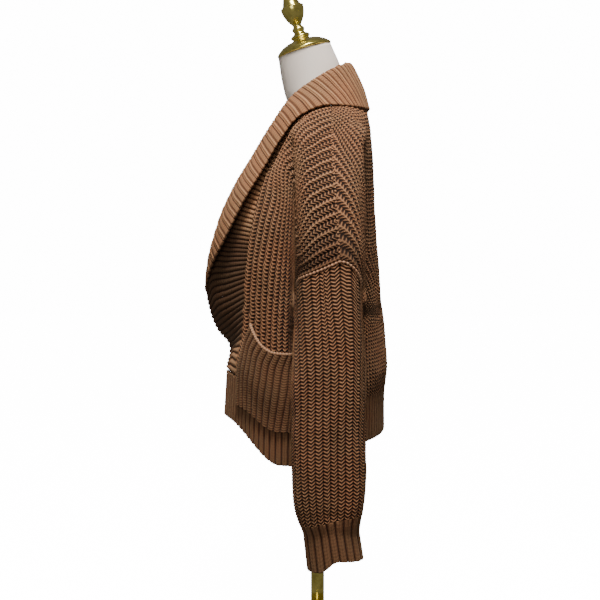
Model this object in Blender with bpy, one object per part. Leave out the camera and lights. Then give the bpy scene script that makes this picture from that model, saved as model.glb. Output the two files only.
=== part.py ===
"""A chunky shawl collar cardigan on a limbless dress form.

Metres, +Z up. The front faces -Y and the wearer's left is +X. The origin is the middle of the
stand's underside. Every knitted piece is a wall whose outer face carries its ribs.

The garment's outer face is a chart: at each run (a height that turns into the distance along the
shoulder line where the shoulder slopes) an outline goes from the centre front round the left side
to the centre back. It is the smooth union of a body oval and the lobe of the dropped sleeve head.
A place on it is (across, run), with across measured along the outline from the side and shoulder
seam line, negative to the front. The right side is the mirror image.
"""

import math

import bmesh
import bpy
import numpy as np

# ---------------------------------------------------------------- driving sizes
GAP = 0.0003  # between pieces at a seam
WALL = 0.0032  # knitted wall between its inner face and the middle of its ribs
RIB_RISE = 0.0012  # how far a rib stands out of the middle of the wall
POCKET_LIFT = 0.0020  # from the panel's middle face to a pocket's inner face

HEM_BOTTOM_RUN = 0.376
HEM_TOP_RUN = 0.454
HEM_LEVELS = 0.3  # how much of its slope the hem's wall keeps
UNDERARM_RUN = 0.545
PEAK_RUN = 0.715  # top of the armhole, on the shoulder line
CROSS_RUN = 0.921  # where the wale that follows the sleeve crease meets the shoulder line
NECK_RUN = 1.0853  # where the shoulder line meets the neck

DROP_WALES = 10  # wales between the armhole and the crease, front and back alike
FRONT_WALES = 8  # wales between the front crease and the front edge
BACK_WALES = 14  # wales between the back crease and the centre back
NECK_WALES = 6  # of the back's, that end at the neck, on each side
PANEL_ROWS = 10
UNDERARM_ROW = 2  # the row that ends at the underarm

SLEEVE_WALES = 26
SLEEVE_ROWS = 8
SLEEVE_END = 0.2898  # height of the cuff's top
CUFF_WALES = 18
CUFF_LOW_FRONT = 0.2250
CUFF_LOW_BACK = 0.2440
CUFF_RISES = (0.0, 0.050)  # depths between which its lower edge rises
CUFF_NARROWS = 0.0040  # height below the sleeve's end at which the sleeve's own narrowing gives the cuff's width
CUFF_SWING = 0.0060  # how far the cuff's end has swung back

COLLAR_RIBS_A_ROW = 3  # of the collar, along each row of the front edge
COLLAR_CELLS = 6
POCKET_RIBS = 12

# ---------------------------------------------------------------- the garment's outline
# run: place along the chart; height: z at the side; reach: outer side of the sleeve lobe;
# half, front, back: body oval; lobe: how much of the lobe there is; side: y of the seam line;
# fold, tuck: y of the front and back creases; edge: y of the front edge
OUTLINE_COLUMNS = ("run", "height", "reach", "half", "front", "back", "lobe", "side", "fold", "tuck", "edge")
OUTLINE = (
    (0.370, 0.370, 0.190, 0.211, -0.1720, 0.1195, 0.0, 0.002, -0.050, 0.052, -0.1465),
    (0.454, 0.454, 0.190, 0.212, -0.1665, 0.1205, 0.0, 0.004, -0.050, 0.056, -0.1390),
    (0.482, 0.482, 0.190, 0.212, -0.1655, 0.1238, 0.0, 0.006, -0.049, 0.058, -0.1365),
    (0.545, 0.545, 0.190, 0.200, -0.1605, 0.1195, 0.0, 0.012, -0.048, 0.064, -0.1300),
    (0.575, 0.575, 0.212, 0.198, -0.1595, 0.1165, 0.35, 0.018, -0.0465, 0.067, -0.1285),
    (0.620, 0.620, 0.246, 0.196, -0.1580, 0.1120, 1.0, 0.028, -0.0455, 0.069, -0.1275),
    (0.665, 0.665, 0.270, 0.195, -0.1565, 0.1090, 1.0, 0.036, -0.0450, 0.070, -0.1262),
    (0.715, 0.715, 0.279, 0.194, -0.1520, 0.1055, 1.0, 0.0404, -0.0445, 0.070, -0.1220),
    (0.7713, 0.770, 0.267, 0.193, -0.1430, 0.1015, 1.0, 0.0404, -0.0445, 0.070, -0.1140),
    (0.8356, 0.830, 0.244, 0.190, -0.1200, 0.0990, 1.0, 0.0400, -0.0445, 0.070, -0.0980),
    (0.9039, 0.888, 0.205, 0.186, -0.0850, 0.0955, 1.0, 0.0398, -0.0420, 0.069, -0.0720),
    (0.9548, 0.925, 0.160, 0.168, -0.0620, 0.0910, 1.0, 0.0370, -0.0320, 0.066, -0.0500),
    (1.0139, 0.953, 0.120, 0.121, -0.0410, 0.0865, 0.0, 0.0330, -0.0150, 0.062, -0.0260),
    (1.0672, 0.9714, 0.060, 0.074, -0.0240, 0.0775, 0.0, 0.0277, -0.0050, 0.052, -0.0020),
    (1.0853, 0.985, 0.050, 0.060, -0.0160, 0.0620, 0.0, 0.0220, 0.0000, 0.045, 0.0219),
)
BODY_ROUNDNESS = 2.1
LOBE_MIDDLE = (0.130, 0.0125)
LOBE_HALF_DEPTH = 0.0585
LOBE_ROUNDNESS = 2.6
CREASE_SHARPNESS = 17.0  # of the smooth union of body and lobe

FRONT_LIFT = 0.060  # the hem rises by this much towards the front edge
LIFT_FROM, LIFT_OVER = -0.066, 0.090  # the rise starts at this y and takes this depth
LIFT_FADES = (0.470, 0.760)  # runs between which the rise dies away
BACK_LIFT = 0.022
BACK_LIFT_FROM, BACK_LIFT_OVER = 0.020, 0.100

# ---------------------------------------------------------------- the wales that guide the others
# share: of the outline between the seam line (0) and the crease (1); run
ARMHOLE_FRONT = ((0.0, 0.545), (0.20, 0.553), (0.42, 0.570), (0.58, 0.595), (0.64, 0.625), (0.62, 0.652), (0.52, 0.677), (0.27, 0.697), (0.0, 0.715))
ARMHOLE_BACK = ((0.0, 0.545), (0.20, 0.552), (0.42, 0.566), (0.54, 0.588), (0.54, 0.615), (0.45, 0.645), (0.32, 0.673), (0.17, 0.697), (0.0, 0.715))
CREASE_FRONT = (
    (1.80, 0.454), (1.62, 0.500), (1.40, 0.560), (1.17, 0.620), (1.03, 0.670), (1.0, 0.730),
    (1.0, 0.800), (0.97, 0.850), (0.80, 0.892), (0.42, 0.913), (0.0, 0.921),
)
CREASE_BACK = (
    (1.78, 0.454), (1.62, 0.500), (1.45, 0.560), (1.30, 0.620), (1.15, 0.690), (1.04, 0.760),
    (1.0, 0.815), (0.95, 0.855), (0.78, 0.893), (0.42, 0.913), (0.0, 0.921),
)
# how far up the crease the rows are: share of the rows, share of the crease's length
TOP_PULL = 4  # how late up the back its wales bend to meet the shoulder line and the neck
CREASE_PACE = ((0.0, 0.0), (0.2, 0.175), (0.3, 0.215), (0.5, 0.345), (0.75, 0.64), (1.0, 1.0))

# ---------------------------------------------------------------- sleeve sections
SLEEVE_COLUMNS = ("height", "inner", "outer", "front", "back")
SLEEVE = (
    (0.280, 0.2440, 0.3020, -0.0262, 0.0602),
    (0.290, 0.2430, 0.3035, -0.0285, 0.0612),
    (0.305, 0.2405, 0.3085, -0.0345, 0.0630),
    (0.325, 0.2385, 0.3120, -0.0390, 0.0665),
    (0.350, 0.2370, 0.3130, -0.0425, 0.0698),
    (0.420, 0.2330, 0.3120, -0.0452, 0.0700),
    (0.500, 0.2240, 0.3080, -0.0450, 0.0710),
    (0.560, 0.2110, 0.3030, -0.0450, 0.0725),
    (0.620, 0.2050, 0.2970, -0.0450, 0.0725),
    (0.720, 0.2000, 0.2830, -0.0450, 0.0710),
)
SLEEVE_ROUNDNESS = 2.25
SLEEVE_SEAM_Y = 0.0404  # the sleeve's first wale hangs below the armhole's peak
SLEEVE_MIDDLE_Y, SLEEVE_HALF_DEPTH = 0.0125, 0.0575
SLEEVE_DENT_SIDE = (0.1, 0.5)  # cosines round the sleeve between which the hollow sets in
SLEEVE_DENT_TOP, SLEEVE_DENT_LOW = (0.42, 0.50), (0.275, 0.325)  # heights it fades over
SLEEVE_PACE = 1.15  # how much closer the sleeve's rows are near the armhole
SEAM_HOLDS = 0.16  # share of the sleeve over which its wall turns from the armhole's own direction
SEAM_GAPS = 2.5  # gaps between the armhole and the sleeve, which are both faceted
SLEEVE_DENT = 0.007  # the long hollow down the outside of the lower sleeve
SLEEVE_DENT_Y = 0.0220
SLEEVE_DENT_WIDTH = 0.016
SLEEVE_BLEND = 0.45  # share of the sleeve over which the armhole's shape fades away
SLEEVE_STANDS_OFF = 0.0050  # at the underarm, where it hangs beside the body
LOW_ARMHOLE = (0.600, 0.655)  # heights between which the sleeve's edge comes to lie beside the body
# share round the sleeve and the matching share round the armhole, from the peak to the front
ROUND_MATCH = ((0.0, 0.0), (0.13, 0.09), (0.27, 0.195), (0.40, 0.33), (0.60, 0.56), (0.78, 0.76), (0.90, 0.90), (1.0, 1.0))

# ---------------------------------------------------------------- collar stations
# along: distance along the neck seam from the centre back; roll: the fold's top (or the middle of
# the band where it isn't turned over); free: the band's free edge
COLLAR_COLUMNS = ("along", "roll_x", "roll_y", "roll_z", "free_x", "free_y", "free_z")
COLLAR = (
    (0.000, 0.0000, 0.0570, 1.0530, 0.0000, 0.0890, 0.9720),
    (0.036, 0.0400, 0.0490, 1.0500, 0.0600, 0.0830, 0.9670),
    (0.075, 0.0670, 0.0230, 1.0350, 0.1080, 0.0540, 0.9680),
    (0.105, 0.0765, -0.0120, 1.0120, 0.1280, 0.0100, 0.9680),
    (0.140, 0.0800, -0.0450, 0.9860, 0.1260, -0.0300, 0.9520),
    (0.190, 0.0840, -0.0825, 0.9400, 0.1220, -0.0600, 0.9170),
    (0.240, 0.0910, -0.1145, 0.8890, 0.1290, -0.0900, 0.8660),
    (0.300, 0.0990, -0.1475, 0.8345, 0.1390, -0.1210, 0.8120),
    (0.350, 0.1030, -0.1675, 0.7890, 0.1380, -0.1460, 0.7640),
    (0.400, 0.1020, -0.1800, 0.7420, 0.1240, -0.1720, 0.7170),
    (0.440, 0.0960, -0.1850, 0.6980, 0.0920, -0.1970, 0.6680),
    (0.485, 0.0950, -0.1700, 0.6520, 0.0640, -0.1985, 0.6400),
    (0.530, 0.0930, -0.1570, 0.6030, 0.0500, -0.1890, 0.5950),
    (0.565, 0.0920, -0.1480, 0.5650, 0.0450, -0.1640, 0.5640),
    (0.590, 0.0910, -0.1490, 0.5420, 0.0500, -0.1570, 0.5450),
)
COLLAR_END_X = 0.058  # the band's free edge where it ends on the hem
COLLAR_SETTLES = (0.560, 0.605)  # distances between which the band comes to lie in the garment's own face
COLLAR_SETTLED_TOP = 0.620  # the highest run that it settles at
COLLAR_FLATTENS = (0.400, 0.450)  # distances between which the fold opens out
COLLAR_ENDS = 0.020  # the last stretch, which keeps clear of the hem
COLLAR_LOFT, COLLAR_LIFT = 0.0054, 0.0018  # how far the turned half of a section bows outward and upward
COLLAR_SEAM_GAP = 0.0006
COLLAR_END_GAP = 0.0015  # between the band's end and the hem

# ---------------------------------------------------------------- pockets
POCKET_SHARES = (1.71, 0.62)  # of the outline: 2 is the front edge, 1 the crease, 0 the seam line
POCKET_BOTTOM = (0.4080, 0.4190, 0.4220, 0.4190)  # runs, evenly spaced from front to side
POCKET_TOP = (0.5750, 0.5500, 0.5470, 0.5640)
POCKET_GAPE = 0.016  # how far the middle of the mouth stands off

# ---------------------------------------------------------------- dress form and stand
FORM_COLUMNS = ("height", "half", "front", "back", "tilt")
FORM = (
    (0.430, 0.148, -0.086, 0.084, 0.0),
    (0.437, 0.158, -0.094, 0.094, 0.0),
    (0.465, 0.157, -0.094, 0.093, 0.0),
    (0.520, 0.140, -0.086, 0.078, 0.0),
    (0.590, 0.120, -0.084, 0.062, 0.0),
    (0.660, 0.132, -0.097, 0.068, 0.0),
    (0.730, 0.154, -0.117, 0.079, 0.0),
    (0.780, 0.164, -0.114, 0.085, 0.0),
    (0.830, 0.172, -0.100, 0.088, 0.0),
    (0.870, 0.178, -0.084, 0.086, 0.0),
    (0.898, 0.172, -0.070, 0.083, 0.0),
    (0.920, 0.152, -0.056, 0.079, 0.0),
    (0.938, 0.106, -0.040, 0.068, 0.0),
    (0.952, 0.074, -0.038, 0.058, 1.0),
    (0.972, 0.0535, -0.0430, 0.0490, 4.0),
    (0.995, 0.0500, -0.0545, 0.0450, 10.0),
    (1.030, 0.0478, -0.0635, 0.0410, 14.0),
    (1.0755, 0.0462, -0.0708, 0.0220, 16.5),
)
FORM_SIDES = 26
CAP_MIDDLE = (0.0, -0.0244, 1.0762)
CAP_TILT = math.radians(16.5)
# height: along the leaning axis; radius
CAP_PROFILE = ((0.0, 0.0470), (0.0012, 0.0492), (0.0042, 0.0492), (0.0060, 0.0476), (0.0088, 0.0440), (0.0112, 0.0375), (0.0138, 0.0285), (0.0160, 0.0185), (0.0172, 0.0105))
FINIAL_PROFILE = (
    (0.0175, 0.0125), (0.0190, 0.0162), (0.0212, 0.0162), (0.0228, 0.0118), (0.0260, 0.0100), (0.0292, 0.0108),
    (0.0325, 0.0090), (0.0405, 0.0079), (0.0500, 0.0090), (0.0600, 0.0126), (0.0690, 0.0178), (0.0738, 0.0202),
    (0.0785, 0.0202), (0.0805, 0.0168), (0.0860, 0.0150), (0.0950, 0.0118), (0.1050, 0.0072), (0.1110, 0.0030),
)
TURNED_SIDES = 16
POLE_RADIUS = 0.0125
BASE_RADIUS = 0.150
BASE_PROFILE = ((0.0, 0.1460), (0.0040, 0.1500), (0.0120, 0.1490), (0.0170, 0.1420), (0.0190, 0.1250), (0.0240, 0.0300))
BASE_TOP = 0.0240

CARAMEL = (0.245, 0.105, 0.045, 1.0)
BRASS = (0.72, 0.50, 0.17, 1.0)
COVER = (0.68, 0.63, 0.58, 1.0)


# ---------------------------------------------------------------- small mathematics
def ease(value):
    """0 below 0, 1 above 1 and a smooth step between."""
    value = np.clip(value, 0.0, 1.0)
    return value * value * (3.0 - 2.0 * value)


def ramp(limits, value):
    """0 below the first limit, 1 above the second and a smooth step between."""
    return ease((value - limits[0]) / (limits[1] - limits[0]))


def curve_through(knots, values, at):
    """A smooth curve through (knots, values), read at the places in at: cubic between each two knots, with slopes from parabolas through three."""
    knots, values, at = (np.asarray(v, float) for v in (knots, values, at))
    slopes = np.gradient(values, knots, axis=0, edge_order=1)
    at = np.clip(at, knots[0], knots[-1])
    k = np.clip(np.searchsorted(knots, at) - 1, 0, len(knots) - 2)
    step = knots[k + 1] - knots[k]
    s = (at - knots[k]) / step
    if values.ndim > 1:
        s, step = s[..., None], step[..., None]
    first = (1 + 2 * s) * (1 - s) ** 2 * values[k] + s * (1 - s) ** 2 * step * slopes[k]
    second = s * s * (3 - 2 * s) * values[k + 1] + s * s * (s - 1) * step * slopes[k + 1]
    return first + second


def column(rows, names, name, at):
    """The named column of a table as a smooth function of its first column."""
    table = np.array(rows)
    return curve_through(table[:, 0], table[:, names.index(name)], at)


def evenly(points, shares, count=400):
    """Points at shares (0 to 1) of the length of a smooth curve through the points."""
    points = np.asarray(points, float)
    knots = np.concatenate([[0], np.cumsum(np.linalg.norm(np.diff(points, axis=0), axis=1))])
    fine = curve_through(knots, points, np.linspace(0, knots[-1], count))
    length = np.concatenate([[0], np.cumsum(np.linalg.norm(np.diff(fine, axis=0), axis=1))])
    return np.stack([np.interp(np.asarray(shares) * length[-1], length, fine[:, k]) for k in range(fine.shape[1])], -1)


def normalised(vectors):
    """Vectors made one long."""
    return vectors / np.maximum(np.linalg.norm(vectors, axis=-1, keepdims=True), 1e-12)


def face_normal(across, run, reach=0.0025):
    """The outward unit normal of the garment's face at places of the chart."""
    across, run = np.broadcast_arrays(np.asarray(across, float), np.asarray(run, float))
    aside = place(across + reach, run) - place(across - reach, run)
    above = place(across, np.minimum(run + reach, NECK_RUN)) - place(across, np.maximum(run - reach, LEVELS[0]))
    return normalised(np.cross(aside, above))


def normals_of(grid):
    """Unit normals of a grid of points (across, along), pointing to the right of across x along."""
    across, along = np.gradient(grid, axis=0), np.gradient(grid, axis=1)
    return normalised(np.cross(across, along))


# ---------------------------------------------------------------- the chart
LEVELS = np.linspace(0.370, NECK_RUN, 230)
RAYS = 200
RAYS_FROM = 0.45  # share of the half width the rays start at
FARTHEST = 0.45
LOBE_DEPARTS = 1.2  # added to the lobe's gauge where there is none
SPREAD = np.linspace(-0.42, 0.42, 561)


def gauge(x, y, middle, half_x, half_y, roundness):
    """A superellipse's gauge: 1 on it, less inside it."""
    return (np.abs((x - middle[0]) / half_x) ** roundness + np.abs((y - middle[1]) / half_y) ** roundness) ** (1 / roundness)


def make_chart():
    """The outline of the left half at each level, as points evenly spaced along it, and where its marks lie along it."""
    t = {name: column(OUTLINE, OUTLINE_COLUMNS, name, LEVELS)[:, None] for name in OUTLINE_COLUMNS}
    centre_x = RAYS_FROM * t["half"]
    to_front = np.arctan2(t["front"] - t["side"], -centre_x)
    to_back = np.arctan2(t["back"] - t["side"], -centre_x)
    shares = np.linspace(0, 1, RAYS)
    angle = np.concatenate([to_front * (1 - shares), (to_back * shares)[:, 1:]], axis=1)
    body_middle = (0.0, (t["front"] + t["back"]) / 2)
    body_half = (t["back"] - t["front"]) / 2
    low, high = np.zeros_like(angle), np.full_like(angle, FARTHEST)
    for _ in range(40):
        middle = (low + high) / 2
        x, y = centre_x + middle * np.cos(angle), t["side"] + middle * np.sin(angle)
        body = gauge(x, y, body_middle, t["half"], body_half, BODY_ROUNDNESS)
        lobe = gauge(x, y, LOBE_MIDDLE, np.maximum(t["reach"] - LOBE_MIDDLE[0], 0.02), LOBE_HALF_DEPTH, LOBE_ROUNDNESS)
        lobe = lobe + LOBE_DEPARTS * (1 - t["lobe"])
        union = -np.log(np.exp(-CREASE_SHARPNESS * body) + np.exp(-CREASE_SHARPNESS * lobe)) / CREASE_SHARPNESS
        inside = union < 1
        low, high = np.where(inside, middle, low), np.where(inside, high, middle)
    length = np.hypot(np.diff(x, axis=1), np.diff(y, axis=1)).cumsum(axis=1)
    length = np.concatenate([np.zeros((len(LEVELS), 1)), length], axis=1)
    length -= length[:, RAYS - 1 : RAYS]
    chart, marks = np.zeros((len(LEVELS), len(SPREAD), 2)), {}
    for name in ("fold", "tuck", "edge"):
        marks[name] = np.array([np.interp(t[name][k, 0], y[k], length[k]) for k in range(len(LEVELS))])
    marks["front"], marks["back"] = length[:, 0], length[:, -1]
    for k in range(len(LEVELS)):
        chart[k, :, 0] = np.interp(SPREAD, length[k], x[k])
        chart[k, :, 1] = np.interp(SPREAD, length[k], y[k])
    return chart, marks


CHART, MARKS = make_chart()


def mark(name, run):
    """How far along the outline a named mark lies at a run: fold, tuck, edge, front or back."""
    return np.interp(run, LEVELS, MARKS[name])


def place(across, run):
    """The point of the garment's outer face at (across, run), on the left side."""
    across, run = np.broadcast_arrays(np.asarray(across, float), np.asarray(run, float))
    level = np.clip((run - LEVELS[0]) / (LEVELS[1] - LEVELS[0]), 0, len(LEVELS) - 1.0001)
    spot = np.clip((across - SPREAD[0]) / (SPREAD[1] - SPREAD[0]), 0, len(SPREAD) - 1.0001)
    i, j = level.astype(int), spot.astype(int)
    u, v = (level - i)[..., None], (spot - j)[..., None]
    flat = (1 - u) * ((1 - v) * CHART[i, j] + v * CHART[i, j + 1]) + u * ((1 - v) * CHART[i + 1, j] + v * CHART[i + 1, j + 1])
    height = column(OUTLINE, OUTLINE_COLUMNS, "height", run)
    fade = 1 - ramp(LIFT_FADES, run)
    forward = ease((LIFT_FROM - flat[..., 1]) / LIFT_OVER)
    backward = ease((flat[..., 1] - BACK_LIFT_FROM) / BACK_LIFT_OVER)
    height = height + fade * (FRONT_LIFT * forward + BACK_LIFT * backward)
    return np.stack([flat[..., 0], flat[..., 1], height], -1)


def chart_way(rows, mark_name, count=400):
    """A guide given as (share, run) rows, as a fine list of (across, run) and its lengths in space."""
    fine = evenly(rows, np.linspace(0, 1, count))
    across = fine[:, 0] * mark(mark_name, fine[:, 1])
    points = place(across, fine[:, 1])
    length = np.concatenate([[0], np.linalg.norm(np.diff(points, axis=0), axis=1).cumsum()])
    return fine, length / length[-1]


def guide(rows, mark_name, shares):
    """(share, run) of a guide at shares of its length in space."""
    fine, length = chart_way(rows, mark_name)
    return np.stack([np.interp(shares, length, fine[:, 0]), np.interp(shares, length, fine[:, 1])], -1)


def armhole_wale(front, shares):
    """(share, run) up the side seam to the underarm and on round half the armhole, the underarm at its own row."""
    turn = UNDERARM_ROW / PANEL_ROWS
    rows, name = (ARMHOLE_FRONT, "fold") if front else (ARMHOLE_BACK, "tuck")
    rest = guide(rows, name, np.clip((shares - turn) / (1 - turn), 0, 1))
    seam = HEM_TOP_RUN + (UNDERARM_RUN - HEM_TOP_RUN) * np.clip(shares / turn, 0, 1)
    low = shares < turn
    return np.where(low[:, None], np.stack([np.zeros_like(seam), seam], -1), rest)


def edge_wale(name, shares):
    """(across, run) up the front edge or the centre back at shares of its length in space."""
    runs = np.linspace(HEM_TOP_RUN, NECK_RUN, 400)
    points = place(mark(name, runs), runs)
    length = np.concatenate([[0], np.linalg.norm(np.diff(points, axis=0), axis=1).cumsum()])
    run = np.interp(shares, length / length[-1], runs)
    return np.stack([mark(name, run), run], -1)


def panel_chart(front, wales, shares):
    """(across, run) at each wale (0 at the armhole) and each share of its length, for a front or half the back."""
    name, sign = ("fold", -1) if front else ("tuck", 1)
    body_wales = FRONT_WALES if front else BACK_WALES
    wales = np.asarray(wales, float)[:, None]
    seam = armhole_wale(front, shares)[None]
    pace = np.interp(shares, *np.array(CREASE_PACE).T)
    crease = guide(CREASE_FRONT if front else CREASE_BACK, name, pace)[None]
    u = np.clip(wales / DROP_WALES, 0, 1)
    part, run = ((1 - u) * seam[..., k] + u * crease[..., k] for k in (0, 1))
    across = part * mark(name, run)
    crease_across = crease[..., 0] * mark(name, crease[..., 1])
    edge = edge_wale("edge" if front else "back", shares)[None]
    v = np.clip((wales - DROP_WALES) / body_wales, 0, 1)
    body_across = (1 - v) * crease_across + v * edge[..., 0]
    body_run = (1 - v) * crease[..., 1] + v * edge[..., 1]
    if not front:  # the top runs along the shoulder line, then round the back of the neck
        line, ring = NECK_RUN - CROSS_RUN, float(mark("back", NECK_RUN))
        turn = 1 - NECK_WALES / BACK_WALES
        top_run = CROSS_RUN + line * np.clip(v / turn, 0, 1)
        top_across = ring * np.clip((v - turn) / (1 - turn), 0, 1)
        pull = shares[None] ** TOP_PULL
        body_run = body_run + pull * (top_run - (CROSS_RUN + v * line))
        body_across = body_across + pull * (top_across - v * ring)
    inner = wales <= DROP_WALES
    return np.where(inner, across, body_across), np.where(inner, run, body_run), sign


# ---------------------------------------------------------------- from grids to solids
def wall_mesh(outer, inner, closed=False):
    """Vertices and faces of a closed wall: outer has two columns a rib, inner one, and the columns go round the outer face so that across x along points out."""
    columns, rows = outer.shape[:2]
    count = (columns if closed else columns - 1) // 2
    vertices = np.concatenate([outer.reshape(-1, 3), inner.reshape(-1, 3)])
    first = columns * rows

    def out(i, j):
        return (i % columns) * rows + j

    def into(i, j):
        return first + (i % inner.shape[0]) * rows + j

    faces = []
    for k in range(count):
        for j in range(rows - 1):
            for i in (2 * k, 2 * k + 1):
                faces.append((out(i, j), out(i + 1, j), out(i + 1, j + 1), out(i, j + 1)))
            faces.append((into(k, j), into(k, j + 1), into(k + 1, j + 1), into(k + 1, j)))
        faces.append((out(2 * k + 1, 0), out(2 * k, 0), into(k, 0)))
        faces.append((out(2 * k + 1, 0), into(k, 0), into(k + 1, 0)))
        faces.append((out(2 * k + 2, 0), out(2 * k + 1, 0), into(k + 1, 0)))
        top = rows - 1
        faces.append((out(2 * k, top), out(2 * k + 1, top), into(k, top)))
        faces.append((out(2 * k + 1, top), into(k + 1, top), into(k, top)))
        faces.append((out(2 * k + 1, top), out(2 * k + 2, top), into(k + 1, top)))
    if not closed:
        for j in range(rows - 1):
            faces.append((out(0, j), out(0, j + 1), into(0, j + 1), into(0, j)))
            faces.append((out(columns - 1, j + 1), out(columns - 1, j), into(count, j), into(count, j + 1)))
    return vertices, faces


def add_object(name, vertices, faces, material):
    """A named object from vertices and faces."""
    mesh = bpy.data.meshes.new(name)
    mesh.from_pydata([tuple(v) for v in vertices], [], faces)
    mesh.materials.append(material)
    body = bmesh.new()
    body.from_mesh(mesh)
    bmesh.ops.triangulate(body, faces=body.faces[:])
    body.to_mesh(mesh)
    body.free()
    mesh.shade_smooth()
    obj = bpy.data.objects.new(name, mesh)
    bpy.context.scene.collection.objects.link(obj)
    return obj


def mirrored(grid):
    """A grid on the other side, its columns turned round so that it still faces out."""
    return (grid * (-1, 1, 1))[::-1]


def ribs(columns, rows, closed=False, fade_ends=True):
    """How far each point of a grid rises: every odd column is a rib and every even one a groove."""
    rise = np.where(np.arange(columns) % 2 == 1, RIB_RISE, -RIB_RISE * 0.7)[:, None] * np.ones((1, rows))
    if not closed:
        rise[[0, -1]] = 0
    if fade_ends:
        rise[:, [0, -1]] = 0
    return rise


def ribbed_wall(name, grid, material, normals, rise=None, closed=False, mirror=False):
    """A knitted wall on a grid of points of its outer face."""
    if rise is None:
        rise = ribs(*grid.shape[:2], closed=closed)
    if mirror:
        shift = 1 if closed else 0
        grid, normals = (np.roll(mirrored(v), shift, axis=0) for v in (grid, normals))
        rise = np.roll(rise[::-1], shift, axis=0)
    outer = grid + rise[..., None] * normals
    inner = (grid - WALL * normals)[::2]
    return add_object(name, *wall_mesh(outer, inner, closed), material)


# ---------------------------------------------------------------- panels
def panel_places(front):
    """(across, run) of the points of a front, or of the left half of the back, from the armhole's wale to the front edge or the centre back."""
    count = DROP_WALES + (FRONT_WALES if front else BACK_WALES)
    wales = np.arange(2 * count + 1) / 2
    shares = np.arange(PANEL_ROWS + 1) / PANEL_ROWS
    across, run, sign = panel_chart(front, wales, shares)
    run[:, 0] += GAP / 2
    across[0, : UNDERARM_ROW + 1] += sign * GAP / 2
    on_shoulder = run[:, -1] < NECK_RUN - 1e-6 if not front else np.full(len(run), True)
    across[:, -1] += sign * GAP / 2 * on_shoulder
    return across, run


def panel_rise(columns, rows):
    """The ribs of a panel, flat at its seams but running on into the hem."""
    rise = ribs(columns, rows)
    rise[:, 0] = rise[:, rows // 2]
    return rise


def make_panels(material):
    """The back and the two fronts."""
    across, run = (v[::-1] for v in panel_places(True))
    front, normal = place(across, run), face_normal(across, run)
    rise = panel_rise(*across.shape)
    ribbed_wall("front_left", front, material, normal, rise=rise)
    ribbed_wall("front_right", front, material, normal, rise=rise, mirror=True)
    across, run = panel_places(False)
    back, normal = two_halves(place(across, run), face_normal(across, run))
    ribbed_wall("back", back, material, normal, rise=panel_rise(*back.shape[:2]))


def two_halves(grid, normal):
    """A left half that ends at the centre and its mirror image, as one grid with its normals."""
    grid[-1, :, 0] = 0
    normal[-1, :, 0] = 0
    normal[-1] = normalised(normal[-1])
    return np.concatenate([grid, mirrored(grid)[1:]]), np.concatenate([normal, mirrored(normal)[1:]])


# ---------------------------------------------------------------- sleeves and cuffs
def sleeve_ring(height, share):
    """A point of the sleeve's outer face at a height and a share round it, from below the armhole's peak towards the front."""
    height, share = np.broadcast_arrays(np.asarray(height, float), np.asarray(share, float))
    inner, outer, front, back = (column(SLEEVE, SLEEVE_COLUMNS, n, height) for n in SLEEVE_COLUMNS[1:])
    middle_x, middle_y = (inner + outer) / 2, (front + back) / 2
    half_x, half_y = (outer - inner) / 2, (back - front) / 2
    start = np.arcsin((SLEEVE_SEAM_Y - SLEEVE_MIDDLE_Y) / SLEEVE_HALF_DEPTH)
    angle = start - 2 * math.pi * share
    power = 2 / SLEEVE_ROUNDNESS
    c, s = np.cos(angle), np.sin(angle)
    x = middle_x + half_x * np.sign(c) * np.abs(c) ** power
    y = middle_y + half_y * np.sign(s) * np.abs(s) ** power
    dent = SLEEVE_DENT * np.exp(-(((y - SLEEVE_DENT_Y) / SLEEVE_DENT_WIDTH) ** 2)) * ramp(SLEEVE_DENT_SIDE, c)
    dent = dent * (1 - ramp(SLEEVE_DENT_TOP, height)) * ramp(SLEEVE_DENT_LOW, height)
    return np.stack([x - dent, y, height], -1)


def armhole_loop():
    """The armhole's corners and outward normals, from its peak down the front and up the back, as the panels' rows end on it."""
    shares = np.arange(PANEL_ROWS, UNDERARM_ROW - 1, -1) / PANEL_ROWS
    across, run = [], []
    for front in (True, False):
        a, r, _ = panel_chart(front, [0.0], shares)
        across.append(a[0] if front else a[0][::-1][1:])
        run.append(r[0] if front else r[0][::-1][1:])
    across, run = np.concatenate(across), np.concatenate(run)
    return place(across, run), face_normal(across, run)


def sleeve_grid(rows=SLEEVE_ROWS, columns=2 * SLEEVE_WALES):
    """Points and normals of the left sleeve's outer face from the armhole down, columns from the peak towards the front."""
    loop, loop_normal = armhole_loop()
    length = np.concatenate([[0], np.linalg.norm(np.diff(loop, axis=0), axis=1).cumsum()])
    share = np.arange(columns) / columns
    spot = np.interp(share, *np.array(ROUND_MATCH).T) * length[-1]
    top, top_normal = (np.stack([np.interp(spot, length, v[:, k]) for k in range(3)], -1) for v in (loop, loop_normal))
    low = 1 - ramp(LOW_ARMHOLE, top[:, 2])
    top_normal = normalised(top_normal)
    tangent = normalised(np.roll(top, -1, axis=0) - np.roll(top, 1, axis=0))
    top = top + np.cross(top_normal, tangent) * (SEAM_GAPS * GAP * (1 - low))[:, None] + top_normal * (SLEEVE_STANDS_OFF * low)[:, None]
    down = np.linspace(0, 1, rows + 1) ** SLEEVE_PACE
    height = top[:, 2:] + (SLEEVE_END + GAP / 2 - top[:, 2:]) * down[None]
    hang = sleeve_ring(height, share[:, None])
    start = sleeve_ring(top[:, 2], share)
    fade = 1 - ease(down / SLEEVE_BLEND)
    grid = hang + (top - start)[:, None] * fade[None, :, None]
    normal = normals_round(grid)
    held = ((1 - low)[:, None] * np.clip(1 - down / SEAM_HOLDS, 0, 1)[None])[..., None]
    normal = normalised(normal * (1 - held) + top_normal[:, None] * held)
    normal[:, -1, 2] = 0
    return grid, normalised(normal)


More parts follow.
